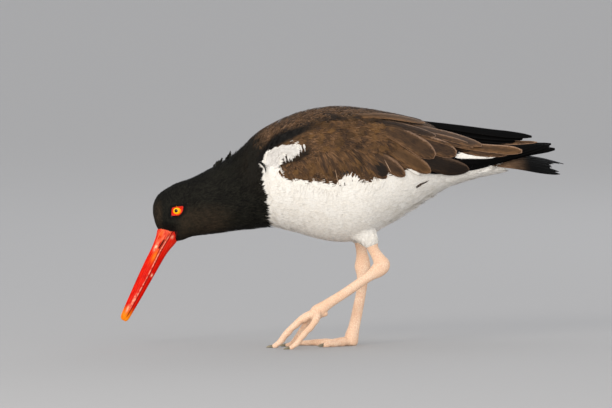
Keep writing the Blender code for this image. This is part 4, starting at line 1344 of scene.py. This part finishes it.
for side in SIDES:
    tips = np.concatenate([row(LOWEST_TIPS, -45, 38, 2.6, 25, 0, 1.4), row(LOWEST_TIPS, -43, 42, 5.2, 21, 9)])
    length = 14 + 22 * ramp(tips[:, 0], -48, -18)
    covert_set("front_coverts_" + side, side, tips, length, 4.3, -0.4, 11, 0.25, 26, bend=-12.0)
    tips = off_white(spread((-46.5, 156), (-22, 178), 4.6, 23))
    length = 5.5 + 8 * ramp(tips[:, 0], -45, -34)
    covert_set("shoulder_coverts_" + side, side, tips, length, 3.4, 0.6, 9, 0.25, 24)
    covert_set("stray_coverts_" + side, side, DASH, 4.5, 0.8, 1.3, 3, 0.2, 33, depth=0.3)
    tips = off_white(np.concatenate([row(MIDDLE_TIPS, -38, 50, 4.8, 22), row(MIDDLE_TIPS, 25, 60, 4.8, 29, -5)]))
    covert_set("median_coverts_" + side, side, tips, 21.0, 4.6, 0.0, 11, 0.5, 24)
    tips = [row(MIDDLE_TIPS, -46 + 2.4 * (k % 2), 62, 4.8, 60 + k, 5.6 * k) for k in (1, 2, 3, 4)]
    tips = off_white(np.concatenate(tips))
    lesser = covert_set("lesser_coverts_" + side, side, tips, 16.0, 4.3, 0.3, 9, 0.45, 27)
    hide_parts("wing_" + side)
    upper = tuple((x, edge) for x, _, edge, _ in WING_EDGES["left"])
    tips = np.concatenate([row(upper, -34, 72, 6.4, 71, -8.0), row(upper, -30, 70, 6.4, 72, -2.5)])
    covert_set("scapulars_" + side, side, tips, 27.0, 4.9, 0.5, 11, 0.7, 28, bend=0.0)
    tips = spread((-66, 158), (-30, 188), 2.3, 29)
    flat = np.stack([tips[:, 0], np.zeros(len(tips)), tips[:, 1]], axis=1)
    chosen = (into_white(flat) > 0.6) & (tips[:, 0] + (tips[:, 1] - 172) > -62)
    tips = tips[chosen]
    lie = lobe_lie(tips[:, 0], tips[:, 1])
    covert_set("shoulder_patch_" + side, side, tips, 9.0, 1.7, 0.9, 5, 0.0, 30, angles=lie, finish=shaded_patch_feather, depth=0.8)
    lie = np.full(len(STRANDS), 78.0)
    covert_set("lobe_strands_" + side, side, STRANDS, 8.0, 0.8, 1.5, 3, 0.0, 34, angles=lie, finish=shaded_patch_feather, depth=0.4)
    random = np.random.default_rng(31)
    tip_x = np.repeat(np.arange(-41.0, 40.0, 1.5), 3) + random.uniform(-0.8, 0.8, 162)
    reach = curve(FLUFF, tip_x)[:, 0] - random.uniform(0, 3.5, 162) ** 1.3
    tips = np.stack([tip_x, reach], axis=1)
    lie = random.uniform(-85, -35, 162)
    covert_set("flank_fluff_" + side, side, tips, 9.0, 0.9, 1.0, 3, 0.0, 32, angles=lie, finish=white_feather, depth=0.4)
    blades("greater_coverts_" + side, side, GREATER_COVERTS, brown_feather, 41, 0.75)
    blades("pale_edges_" + side, side, PALE_EDGES, pale_feather, 49)
    made = blades("tertials_feathers_" + side, side, TERTIALS, brown_feather, 42, 0.9, shape=(0.55, 0.64, 0.3, 2.8))
    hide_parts("tertials_" + side)
    blades("white_bar_" + side, side, WHITE_BAR, white_feather, 43, shape=(1.0, 0.3, 0.03, 1.1))
    blades("secondaries_" + side, side, SECONDARIES, black_feather, 44)
shape = (0.6, 0.8, 0.3)
made = blades("primary_feathers_left", "left", LEFT_PRIMARIES, black_feather, 45, 0.3, shape=shape)
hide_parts("primaries_left")
made = blades("primary_feathers_right", "right", RIGHT_PRIMARIES, black_feather, 46, 1.0, False, shape)
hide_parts("primaries_right")
blades("far_tertial_right", "right", FAR_TERTIAL, brown_feather, 47, surface=over_rump)
blades("crossed_primaries_right", "left", CROSSED, black_feather, 48, shape=shape, surface=over_rump)

# The tail: twelve stiff feathers that lie over each other like a folded fan, the middle pair on top, brown at
# the root and black at the tips. Soft white coverts lie over their roots from above and below.
TAIL_FORM = (
    (112.0, 171.0, 6.0, 2.0),
    (126.0, 170.5, 11.0, 3.5),
    (142.0, 171.0, 15.0, 6.0),
    (160.0, 171.5, 19.0, 8.5),
    (180.0, 169.0, 22.5, 10.5),
    (192.0, 166.0, 23.0, 9.8),
    (202.0, 163.0, 22.0, 8.0),
)
TAIL_DROOP = 1.7


def on_tail(x, across):
    """Places on the tail's upper surface, a low roof, and the way up there."""
    ridge, half_width, drop = np.moveaxis(curve(TAIL_FORM, x.ravel()).reshape(*x.shape, 3), -1, 0)
    place = np.stack([x, across * half_width, ridge - drop * np.abs(across) ** TAIL_DROOP], axis=-1)
    lean = drop * TAIL_DROOP * np.abs(across) ** (TAIL_DROOP - 1) * np.sign(across) / half_width
    return place, unit(np.stack([np.zeros_like(lean), lean, np.ones_like(lean)], axis=-1))


share = np.linspace(0, 1, 24)
across = np.array([-0.93, -0.8, -0.62, -0.45, -0.27, -0.09, 0.09, 0.27, 0.45, 0.62, 0.78, 0.93])
ends = np.array([196, 195, 189, 188, 192, 199, 199.8, 196, 191, 189, 188, 187.0])
x = 112 + (ends[:, None] - 112) * share[None]
place, up = on_tail(x, np.broadcast_to(across[:, None], x.shape))
order = 0.5 - 1.6 * np.abs(across)
place = place + up * order[:, None, None]
half = np.full(12, 5.2)[:, None] * outline(share, 0.4, 0.58, 0.06, 1.2)[None]
random = np.random.default_rng(51)
values = {"tone": random.uniform(0.2, 0.6, 12), "fringe": np.full(12, 0.6), "rust": np.zeros(12)}
values["dark"] = np.broadcast_to(ramp(x, 150, 170), x.shape)
inks = (("dark", linear("#030303")),)
tail_feather = plumage("tail_feather", linear("#54402f"), linear("#7a5f4a"), 0.6, inks=inks, gloss=0.07)
thick = np.broadcast_to(0.35 * (1 - 0.5 * share)[None], half.shape)
tail = feathers("tail_feathers", place, up, half, thick, VANE, 0.05, tail_feather, values, 0.35, 0.02)
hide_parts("tail")


def plume_set(name, tips, angles, lines_at, length, half, seed):
    """White coverts round the tail's root: tips by place along X and by angle round the body."""
    random = np.random.default_rng(seed)
    steps = 7
    share = np.linspace(0, 1, steps)
    x = tips[:, None] - length * (1 - share)[None]
    place, out = lines_at(x, np.broadcast_to(angles[:, None], x.shape))
    rise = 0.3 + random.uniform(0, 0.4, len(tips))[:, None] - 2.5 * (1 - share)[None] ** 1.5
    place = place + out * rise[..., None]
    wide = half * random.uniform(0.85, 1.15, len(tips))[:, None] * outline(share)[None]
    values = {"tone": random.random(len(tips)), "fringe": np.zeros(len(tips))}
    place, out, wide, values = split(place, out, wide, values, 6, seed)
    thick = np.broadcast_to(0.12 * (1 - 0.5 * share)[None], wide.shape)
    made = feathers(name, place, out, wide, thick, LOCK, 0.0, white_feather, values, 0.85)


UNDERTAIL = (
    (95, 143.2, 29, 14),
    (110, 148.3, 24, 12),
    (125, 152.4, 18.5, 11),
    (140, 155.7, 14, 9),
    (153, 158.6, 11, 6),
)


def under_tail(x, angle):
    """Places on the rounded underside behind the vent, and the way out there."""
    low, wide, tall = np.moveaxis(curve(UNDERTAIL, x.ravel()).reshape(*x.shape, 3), -1, 0)
    place = np.stack([x, wide * np.sin(angle), low + tall * (1 - np.cos(angle))], axis=-1)
    out = np.stack([0.25 + 0 * x, np.sin(angle) / wide, -np.cos(angle) / tall], axis=-1)
    out[..., 0] *= np.linalg.norm(out[..., 1:], axis=-1)
    return place, unit(out)


tips = np.repeat(np.arange(106.0, 154.0, 3.2), 13)
random = np.random.default_rng(53)
angles = np.tile(np.linspace(-1.35, 1.35, 13), len(tips) // 13) + random.normal(0, 0.06, len(tips))
plume_set("undertail_coverts", tips + random.uniform(-1.5, 1.5, len(tips)), angles, under_tail, 22.0, 3.6, 54)
tips = np.repeat(np.arange(112.0, 147.0, 4.0), 11)
places = np.tile(np.linspace(-0.95, 0.95, 11), len(tips) // 11) + random.normal(0, 0.03, len(tips))
places *= 1 - 0.35 * ramp(tips, 118, 145)
plume_set("uppertail_coverts", tips + random.uniform(-1.5, 1.5, len(tips)), places, on_tail, 20.0, 3.6, 55)

# A black feather of the neck that hooks over the white patch's front border on the left side
HOOK = np.array([(-75.5, 168.0), (-72.4, 166.8), (-69.3, 164.2), (-68.0, 160.4), (-68.1, 157.2)])
share = np.linspace(0, 1, 9)
at = curve(np.column_stack([np.linspace(0, 1, len(HOOK)), HOOK]), share)
line, up = on_wing("left", at[:, 0], at[:, 1])
line, up = (line + up * (1.7 + 0.5 * share)[:, None])[None], up[None]
half = np.full(1, 0.95)[:, None] * outline(share)[None]
values = {key: np.zeros(1) for key in ("tone", "brown", "painted_sheen", "dark")}
line, up, half, values = split(line, up, half, values, 4, 59)
hook = feathers("hooked_feather_left", line, up, half, np.full(half.shape, 0.1), LOCK, 0.0, hood_feather, values)

# A small dark spot on the left flank: a few brown feathers among the white ones
SPOT = np.array([(68.0, -40.0, 143.0), (71.0, -40.0, 145.0), (67.5, -40.0, 144.6), (75.0, -40.0, 145.6)])
line, up = walked(SPOT, np.tile([1.0, 0, 0.4], (4, 1)), np.array([7.0, 8.0, 9.0, 7.5]), 6)
share = np.linspace(0, 1, 6)
line = line + up * (0.4 + 0.5 * share)[None, :, None]
half = np.full(4, 0.5)[:, None] * outline(share)[None]
values = {"tone": np.full(4, 0.2), "fringe": np.full(4, 0.3), "dark": np.full(4, 0.45), "rust": np.zeros(4)}
line, up, half, values = split(line, up, half, values, 3, 58)
spot = feathers("flank_spot_left", line, up, half, np.full(half.shape, 0.1), LOCK, 0.0, brown_feather, values)

# The bill: two long horny sheaths over bone, deep and thin like a blade, that meet in a fine line. The upper
# one has a slit for the nostril in a long shallow groove. The horn is orange-red, yellower at its worn tip.
BILL_ROOT = np.array([-154.4, 0.0, 104.4])
BILL_AHEAD = unit(np.array([-0.459, 0.0, -0.888]))
BILL_UP = np.array([BILL_AHEAD[2], 0.0, -BILL_AHEAD[0]])
# Sections along the bill: place, reach above and below the middle line, half width
BILL_FORM = (
    (-7.0, 8.6, 8.6, 4.4),
    (0.0, 10.5, 10.2, 5.6),
    (5.4, 10.2, 10.2, 5.6),
    (10.0, 8.9, 9.4, 5.3),
    (16.0, 8.0, 7.9, 5.0),
    (23.0, 7.5, 6.9, 4.6),
    (36.0, 7.3, 6.3, 3.9),
    (50.0, 6.7, 5.7, 3.3),
    (64.0, 5.85, 5.2, 2.7),
    (78.5, 4.95, 4.4, 2.1),
    (85.0, 4.45, 4.1, 1.7),
    (88.5, 4.0, 3.75, 1.35),
    (90.4, 3.2, 3.1, 1.0),
    (91.4, 2.1, 2.2, 0.6),
    (91.9, 0.7, 0.8, 0.2),
)
# Where the two sheaths meet: along the bill, and above its middle line
BILL_MOUTH = ((-7, -3.0), (1.7, -2.66), (13, -1.83), (22, -1.55), (41, -1.95), (59, -1.8), (84, -1.3), (91.6, -0.3))
BILL_SIDE_POWER = 0.75
NOSTRIL = ((10.2, 0.75), (18.6, 1.4))
# Pale places on the left side, partly worn and scraped horn and partly painted highlight: along the bill, above its
# middle, half lengths, strength
BILL_PALE = (
    (19.0, 4.4, 3.2, 1.0, 1.0),
    (43.5, -3.9, 1.3, 0.8, 0.9),
    (4.5, -4.6, 1.6, 1.0, 0.6),
    (70.0, 0.4, 6.0, 0.7, 0.7),
    (80.0, 1.4, 3.5, 1.0, 0.6),
)
BILL_AMBER = ((27.0, 1.6, 5.5, 2.0, 1.0), (6.0, 5.5, 4.0, 1.5, 0.4))


def blobs(table, s, u):
    """Soft spots of the given half lengths and strengths."""
    found = np.zeros(s.shape)
    for at, above, long, tall, strength in table:
        found = np.maximum(found, strength * np.exp(-(((s - at) / long) ** 2) - ((u - above) / tall) ** 2))
    return found


def bill_sheath(name, upper):
    """One sheath: closed rings that follow the bill's side and close along the mouth."""
    s = np.concatenate([np.linspace(-7, 84, 320), np.linspace(84.3, 91.6, 36)])
    high, low, wide = curve(BILL_FORM, s).T[:, :, None]
    mouth = np.clip(curve(BILL_MOUTH, s) / low, -0.9, 0.9)
    start = np.arcsin(mouth)
    t = np.linspace(0, 1, 64)[None]
    angle = start + (np.pi - 2 * start) * t if upper else start - (np.pi + 2 * start) * t
    u = np.sin(angle) * np.where(np.sin(angle) > 0, high, low)
    deep = low
    y = wide * np.sign(np.cos(angle)) * np.abs(np.cos(angle)) ** BILL_SIDE_POWER
    at = np.broadcast_to(s[:, None], u.shape)
    off_mouth = np.abs(u - mouth * deep)
    lip = np.exp(-((off_mouth / 0.32) ** 2))
    inward = 0.25 * lip
    (s0, u0), (s1, u1) = NOSTRIL
    part = np.clip((at - s0) / (s1 - s0), 0, 1)
    near = np.hypot(at - (s0 + part * (s1 - s0)), (u - (u0 + part * (u1 - u0))) * 1.0)
    slit = np.exp(-((near / 0.62) ** 4)) if upper else np.zeros(u.shape)
    swollen = np.exp(-(((near - 1.4) / 0.7) ** 2)) if upper else 0.0
    groove_at = mouth * deep + 1.55 + 0.012 * at
    groove = np.exp(-(((u - groove_at) / 0.42) ** 2)) * ramp(at, 1, 5) * ramp(at, 50, 30) * (1.0 if upper else 0.0)
    inward = inward + 0.95 * slit + 0.28 * groove - 0.1 * swollen * ramp(at, 8, 11) * ramp(at, 22, 18)
    y = np.sign(y) * np.maximum(np.abs(y) - inward, 0.02)
    closing = np.linspace(1, 0, 12)[1:-1][None]
    flat = y[:, -1:] * closing + y[:, :1] * (1 - closing)
    hollow = (0.45 if upper else -0.45) * np.sin(np.pi * closing) * ramp(s, 90, 60)[:, None]
    y = np.concatenate([y, flat], axis=1)
    u = np.concatenate([u, u[:, -1:] * closing + u[:, :1] * (1 - closing) + hollow], axis=1)
    s_all = np.broadcast_to(s[:, None], u.shape)
    points = BILL_ROOT + s_all[..., None] * BILL_AHEAD + u[..., None] * BILL_UP + y[..., None] * np.array([0, 1.0, 0])
    if upper:
        points = points[:, ::-1]
        s_all, u, y = s_all[:, ::-1], u[:, ::-1], y[:, ::-1]
    made = tube(name, points)
    side = ramp(y, 0.2, -0.6) * 0.75 + 0.25
    level = np.broadcast_to(mouth * deep, u.shape)
    above_mouth = u - level
    set_values(made, "run_mm", s_all)
    set_values(made, "rise_mm", u)
    set_values(made, "pale", np.clip(blobs(BILL_PALE, s_all, u) * side, 0, 1))
    set_values(made, "amber", np.clip(blobs(BILL_AMBER, s_all, u), 0, 1))
    edge = np.exp(-(((above_mouth - 0.85) / 0.4) ** 2)) * ramp(s_all, 2, 8) * ramp(s_all, 84, 74)
    set_values(made, "lip", edge if upper else np.zeros(u.shape))
    (s0, u0), (s1, u1) = NOSTRIL
    part = np.clip((s_all - s0) / (s1 - s0), 0, 1)
    near = np.hypot(s_all - (s0 + part * (s1 - s0)), u - (u0 + part * (u1 - u0)))
    # Painted shade: the nostril's slit, the line where the sheaths meet and the groove above it are darkened
    dark = np.exp(-((near / 0.66) ** 4)) if upper else np.zeros(u.shape)
    seam = np.exp(-(((above_mouth + 0.15) / 0.42) ** 2)) * ramp(s_all, 90, 84)
    groove_at = level + 1.55 + 0.012 * s_all
    groove = np.exp(-(((u - groove_at) / 0.5) ** 2)) * ramp(s_all, 1, 4) * ramp(s_all, 40, 20) * (0.9 if upper else 0)
    set_values(made, "dark", np.clip(dark, 0, 1))
    set_values(made, "seam", np.clip(np.maximum(seam, groove), 0, 1))
    set_values(made, "rosy", ramp(s_all, 30, 10) * ramp(u / np.broadcast_to(high, u.shape), 1.0, 0.7) * (0.85 if upper else 0.5))
    set_values(made, "worn", ramp(s_all, 76, 88))
    below = np.ones(u.shape) * (0.0 if upper else 1.0)
    set_values(made, "below", below)
    ridge = np.exp(-(((s_all - 55) / 7) ** 2)) * ramp(u / np.broadcast_to(high, u.shape), 0.86, 0.97)
    set_values(made, "ridge", ridge)
    return made


# Horn: smooth and glossy with fine scratches along it. The colour runs from orange-red at the root through
# red to an amber tip, with a pale broken line along the cutting edge, and pale spots that are partly worn
# horn and partly painted highlight.
material, tree, shader = new_material("bill_horn_sheath")


def attribute(key):
    return node(tree, "ShaderNodeAttribute", attribute_name=key).outputs["Fac"]


along_bill = computed(tree, "MULTIPLY", attribute("run_mm"), 0.16)
over_bill = computed(tree, "MULTIPLY", attribute("rise_mm"), 1.3)
grain_at = node(tree, "ShaderNodeCombineXYZ", {0: along_bill, 1: over_bill}).outputs[0]
grain = node(tree, "ShaderNodeTexNoise", {"Vector": grain_at, "Scale": 1.0, "Detail": 4.0}).outputs["Fac"]
where = node(tree, "ShaderNodeTexCoord").outputs["Object"]
flakes = node(tree, "ShaderNodeTexNoise", {"Vector": where, "Scale": 420.0, "Detail": 3.0}).outputs["Fac"]
share = node(tree, "ShaderNodeMapRange", {"Value": grain, "From Min": 0.35, "From Max": 0.68}).outputs[0]
colour = mixed(tree, share, linear("#c40801"), linear("#ea2206"))
rosy = computed(tree, "MULTIPLY", attribute("rosy"), node(tree, "ShaderNodeMapRange", {"Value": grain, "From Min": 0.38, "From Max": 0.6}).outputs[0])
colour = mixed(tree, rosy, colour, linear("#ff7650"))
colour = mixed(tree, computed(tree, "MULTIPLY", attribute("below"), 0.7), colour, linear("#cc0e03"))
colour = mixed(tree, attribute("amber"), colour, linear("#ff7410"))
share = computed(tree, "MULTIPLY", attribute("worn"), computed(tree, "ADD", flakes, 0.35))
colour = mixed(tree, share, colour, linear("#f58a12"))
broken = node(tree, "ShaderNodeMapRange", {"Value": flakes, "From Min": 0.38, "From Max": 0.56}).outputs[0]
share = computed(tree, "MULTIPLY", attribute("lip"), computed(tree, "MULTIPLY_ADD", broken, 0.85, 0.15))
colour = mixed(tree, share, colour, linear("#ffa890"))
share = computed(tree, "MULTIPLY", attribute("pale"), computed(tree, "ADD", broken, 0.25))
colour = mixed(tree, share, colour, linear("#ffc9a4"))
colour = mixed(tree, computed(tree, "MULTIPLY", attribute("ridge"), 0.7), colour, linear("#5a1a10"))
# Painted shade in the mouth line, the groove and the nostril
colour = mixed(tree, attribute("seam"), colour, linear("#7a1006"))
colour = mixed(tree, attribute("dark"), colour, linear("#3d0a04"))
tree.links.new(colour, shader.inputs["Base Color"])
rough = node(tree, "ShaderNodeMapRange", {"Value": grain, "From Min": 0.3, "From Max": 0.7, "To Min": 0.2, "To Max": 0.34})
tree.links.new(rough.outputs[0], shader.inputs["Roughness"])
relief = computed(tree, "MULTIPLY_ADD", flakes, 0.4, grain)
bump = node(tree, "ShaderNodeBump", {"Height": relief, "Strength": 0.25, "Distance": 0.0002})
tree.links.new(bump.outputs[0], shader.inputs["Normal"])
shader.inputs["Specular IOR Level"].default_value = 0.07
for name, upper in (("bill_upper", True), ("bill_lower", False)):
    sheath = bill_sheath(name + "_sheath", upper)
    sheath.data.materials.append(material)
    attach(sheath, "root")
    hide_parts(name)

# The eyes: wet balls with a yellow iris round a small pupil, set in rims of bare orange-red skin that are
# drawn out to slanting corners.
EYE_RADIUS = 4.75
EYE_DEPTH = 3.75
# The ball's centre and the opening's, backward and upward from the pupil
BALL_CENTRE = (0.5, -0.2)
PUPIL = 1.6
OPENING_CENTRE = (0.6, -0.25)
OPENING = (3.7, 3.0)


def eye_frame(side):
    """The eye's centre on the head, and the ways back, up and out."""
    place = EYE * np.array([1, SIDES[side], 1])
    spot, _, face, _ = outer_form.find_nearest(place)
    out = unit(form_face_normals[face])
    back = unit(np.array([1.0, 0, 0]) - out * out[0])
    up = np.cross(back, out) * SIDES[side]
    return np.array(spot), back, up * np.sign(up[2]), out


def eyeball(side):
    """A ball of fine rings round its line of sight."""
    centre, back, up, out = eye_frame(side)
    lean = np.concatenate([np.linspace(0.004, 1.1, 60), np.linspace(1.15, np.pi - 0.05, 30)])[:, None]
    turn = np.linspace(0, 2 * np.pi, 96, endpoint=False)[None]
    bulge = 1 + 0.035 * np.exp(-((lean / 0.55) ** 2))
    across = EYE_RADIUS * np.sin(lean) * bulge
    height = EYE_RADIUS * np.cos(lean) * bulge - EYE_DEPTH
    aback = across * np.cos(turn) + BALL_CENTRE[0]
    above = across * np.sin(turn) + BALL_CENTRE[1]
    points = centre + aback[..., None] * back + above[..., None] * up
    points = points + (height + 0 * turn)[..., None] * out
    rings = points if SIDES[side] < 0 else points[:, ::-1]
    made = tube("eyeball_" + side, rings)
    set_values(made, "from_pupil", np.hypot(aback, above) if SIDES[side] < 0 else np.hypot(aback, above)[:, ::-1])
    return made


def eye_rim(side):
    """A closed pad of skin from the eye's opening out to the feathers."""
    centre, back, up, out = eye_frame(side)
    turn = np.linspace(0, 2 * np.pi, 144, endpoint=False)
    inner = np.stack([OPENING[0] * np.cos(turn), OPENING[1] * np.sin(turn)], axis=1) + OPENING_CENTRE
    reach = rim_reach(turn)
    outer = np.stack([reach * np.cos(turn), reach * np.sin(turn)], axis=1)
    rings = []
    for share in np.linspace(0, 1, 16):
        flat = inner * (1 - share) + outer * share
        place = centre + flat[:, :1] * back + flat[:, 1:] * up
        ball = np.sqrt(np.maximum(EYE_RADIUS**2 - ((flat - BALL_CENTRE) ** 2).sum(1), 4)) - EYE_DEPTH
        skin_level = np.array([
            ((np.array(outer_form.ray_cast(Vector(p + out * 8), Vector(-out))[0]) - centre) @ out) for p in place
        ])
        blend = ramp(share, 0.0, 0.85)
        height = (ball + 0.1) * (1 - blend) + (skin_level - 0.1) * blend
        height = height + 0.55 * np.sin(np.pi * share**0.8) - 0.7 * ramp(share, 0.9, 1.0)
        folds = 0.06 * np.sin(share * 5 * np.pi) * ramp(share, 0.1, 0.3)
        rings.append(place + (height + folds)[:, None] * out)
    rings = rings + [rings[-1] - 1.2 * out, rings[0] * 0.5 + rings[-1] * 0.5 - 2.0 * out, rings[0] - 1.6 * out]
    rings = np.array(rings)
    count, around = rings.shape[:2]
    faces = [
        (r * around + k, r * around + (k + 1) % around, (r + 1) % count * around + (k + 1) % around, (r + 1) % count * around + k)
        for r in range(count)
        for k in range(around)
    ]
    if SIDES[side] > 0:
        faces = [face[::-1] for face in faces]
    made = made_mesh("eye_rim_" + side, rings.reshape(-1, 3), faces)
    share = np.concatenate([np.linspace(0, 1, 16), [1, 0.5, 0]])
    set_values(made, "outward", np.broadcast_to(share[:, None], (count, around)))
    return made


# Iris and pupil under a clear wet cornea: a black disc, then yellow that deepens to orange at its edge, with
# fine fibres that run outward.
material, tree, shader = new_material("wet_eye")
from_pupil = attribute("from_pupil")
where = node(tree, "ShaderNodeTexCoord").outputs["Object"]
fibres = node(tree, "ShaderNodeTexNoise", {"Vector": where, "Scale": 1800.0, "Detail": 3.0}).outputs["Fac"]
outward = computed(tree, "MULTIPLY_ADD", fibres, 0.25, from_pupil)
share = node(tree, "ShaderNodeMapRange", {"Value": outward, "From Min": 1.9, "From Max": 4.3}).outputs[0]
colour = mixed(tree, share, linear("#ffc800"), linear("#f58400"))
black = node(tree, "ShaderNodeMapRange", {"Value": outward, "From Min": PUPIL, "From Max": PUPIL + 0.2, "To Min": 1.0, "To Max": 0.0})
colour = mixed(tree, black.outputs[0], colour, linear("#060504"))
tree.links.new(colour, shader.inputs["Base Color"])
shader.inputs["Roughness"].default_value = 0.22
shader.inputs["Specular IOR Level"].default_value = 0.2
shader.inputs["Coat Weight"].default_value = 0.12
shader.inputs["Coat Roughness"].default_value = 0.06
eye_material = material

# The rim's skin is fleshy, finely wrinkled and a little moist, redder toward the feathers.
material, tree, shader = new_material("bare_eye_rim")
where = node(tree, "ShaderNodeTexCoord").outputs["Object"]
wrinkles = node(tree, "ShaderNodeTexNoise", {"Vector": where, "Scale": 1400.0, "Detail": 3.0}).outputs["Fac"]
share = computed(tree, "MULTIPLY_ADD", wrinkles, 0.5, computed(tree, "MULTIPLY", attribute("outward"), 0.6))
colour = mixed(tree, share, linear("#ee3006"), linear("#bc1002"))
tree.links.new(colour, shader.inputs["Base Color"])
bump = node(tree, "ShaderNodeBump", {"Height": wrinkles, "Strength": 0.5, "Distance": 0.00015})
tree.links.new(bump.outputs[0], shader.inputs["Normal"])
shader.inputs["Roughness"].default_value = 0.38
shader.inputs["Specular IOR Level"].default_value = 0.2
for side in SIDES:
    ball = eyeball(side)
    ball.data.materials.append(eye_material)
    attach(ball, "root")
    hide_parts("eye_" + side)
    rim = eye_rim(side)
    rim.data.materials.append(material)
    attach(rim, "root")
    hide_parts("eye_ring_" + side)

# The claws: short blunt horn caps on the toes' ends, ridged along the top and hollowed beneath, that level out
# just over the floor. They are dark at the root and worn paler at the tip.
CLAW_LENGTH = 5.8
CLAW_RADIUS = 1.45


def claw_points(stations):
    """Rings of a claw from inside the toe's end to its tip."""
    tip, before = np.array(stations[-1]), np.array(stations[-2])
    heading = unit(tip[:3] - before[:3])
    level = unit(np.array([heading[0], heading[1], -0.1]))
    t = np.linspace(0, 1, 40)
    way = unit(heading[None] * (1 - ramp(t, 0, 0.7))[:, None] + level[None] * ramp(t, 0, 0.7)[:, None])
    step = (CLAW_LENGTH + 1.5) / (len(t) - 1)
    centre = tip[:3] + heading * (tip[3] * 0.8 - 1.2) + np.array([0, 0, 0.5])
    centre = centre + np.concatenate([np.zeros((1, 3)), np.cumsum(way[:-1] * step, axis=0)])
    radius = CLAW_RADIUS * np.sqrt(np.clip(1 - t**1.7, 0.01, 1))
    across = unit(np.cross(way, np.array([0, 0, 1.0])))
    above = np.cross(across, way)
    angle = np.linspace(0, 2 * np.pi, 28, endpoint=False)[None]
    shape = 1 - 0.22 * np.exp(-(((angle - 1.5 * np.pi) / 0.5) ** 2)) + 0.1 * np.exp(-(((angle - 0.5 * np.pi) / 0.3) ** 2))
    points = centre[:, None] + across[:, None] * (radius[:, None] * 0.78 * np.cos(angle) * shape)[..., None]
    points = points + above[:, None] * (radius[:, None] * np.sin(angle) * shape)[..., None]
    points[..., 2] += np.maximum(0.12 - points[..., 2].min(axis=1), 0)[:, None]
    return points, t


material, tree, shader = new_material("claw_horn_dark")
where = node(tree, "ShaderNodeTexCoord").outputs["Object"]
grain = node(tree, "ShaderNodeTexNoise", {"Vector": where, "Scale": 900.0, "Detail": 3.0}).outputs["Fac"]
share = computed(tree, "MULTIPLY_ADD", grain, 0.6, computed(tree, "MULTIPLY", attribute("outward"), 0.5))
colour = mixed(tree, share, linear("#352d22"), linear("#a2977c"))
tree.links.new(colour, shader.inputs["Base Color"])
bump = node(tree, "ShaderNodeBump", {"Height": grain, "Strength": 0.3, "Distance": 0.0001})
tree.links.new(bump.outputs[0], shader.inputs["Normal"])
shader.inputs["Roughness"].default_value = 0.36
for toe, stations in TOES.items():
    points, outward = claw_points(stations)
    claw_name = toe.replace("toe", "claw")
    claw = tube(claw_name + "_horn", points)
    set_values(claw, "outward", np.broadcast_to(outward[:, None], points.shape[:2]))
    claw.data.materials.append(material)
    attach(claw, "root")
    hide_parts(claw_name)

# Floor, light and camera: a wide pale floor, one broad soft light from the front left and above, a low one
# from the front and a weak one from behind, and a long lens at the height of the bird's back.
FLOOR_REACH = 60000.0
corners = [(-FLOOR_REACH, -FLOOR_REACH), (FLOOR_REACH, -FLOOR_REACH), (FLOOR_REACH, FLOOR_REACH), (-FLOOR_REACH, FLOOR_REACH)]
floor = made_mesh("floor", np.array([(x, y, 0.0) for x, y in corners]), [(0, 1, 2, 3)])
material, tree, shader = new_material("matt_pale_floor")
shader.inputs["Base Color"].default_value = linear("#a6a5a5")
shader.inputs["Roughness"].default_value = 0.9
floor.data.materials.append(material)

world = bpy.data.worlds.new("studio")
bpy.context.scene.world = world
world.use_nodes = True
world.node_tree.nodes["Background"].inputs["Color"].default_value = (0.97, 0.98, 1.0, 1)
world.node_tree.nodes["Background"].inputs["Strength"].default_value = 0.93


def soft_light(name, place, size, power, colour):
    """A round lamp, in metres, that faces the bird."""
    lamp = bpy.data.lights.new(name, "AREA")
    lamp.shape = "DISK"
    lamp.size = size
    lamp.energy = power
    lamp.color = colour
    made = bpy.data.objects.new(name, lamp)
    made.location = place
    made.rotation_euler = (Vector((0, 0, 0.12)) - Vector(place)).to_track_quat("-Z", "Y").to_euler()
    bpy.context.scene.collection.objects.link(made)


soft_light("key", (-1.6, -2.5, 1.35), 1.1, 31, (1.0, 0.95, 0.87))
soft_light("low_front", (-0.4, -2.9, 0.15), 1.8, 48, (1.0, 0.96, 0.91))
soft_light("rim", (1.2, 2.2, 1.6), 1.4, 8, (0.90, 0.94, 1.0))

FRAME_WIDTH = 0.5508
VIEW_CENTRE = (-0.032, 0.0, 0.128)
LENS = 500.0
FILM_WIDTH = 36.0
ELEVATION = math.radians(3.0)
distance = LENS / FILM_WIDTH * FRAME_WIDTH
camera = bpy.data.cameras.new("camera")
camera.lens = LENS
camera.sensor_width = FILM_WIDTH
camera.clip_end = 200.0
viewer = bpy.data.objects.new("camera", camera)
viewer.location = (
    VIEW_CENTRE[0],
    VIEW_CENTRE[1] - distance * math.cos(ELEVATION),
    VIEW_CENTRE[2] + distance * math.sin(ELEVATION),
)
viewer.rotation_euler = (math.pi / 2 - ELEVATION, 0, 0)
bpy.context.scene.collection.objects.link(viewer)
bpy.context.scene.camera = viewer
bpy.context.scene.view_settings.view_transform = "Standard"
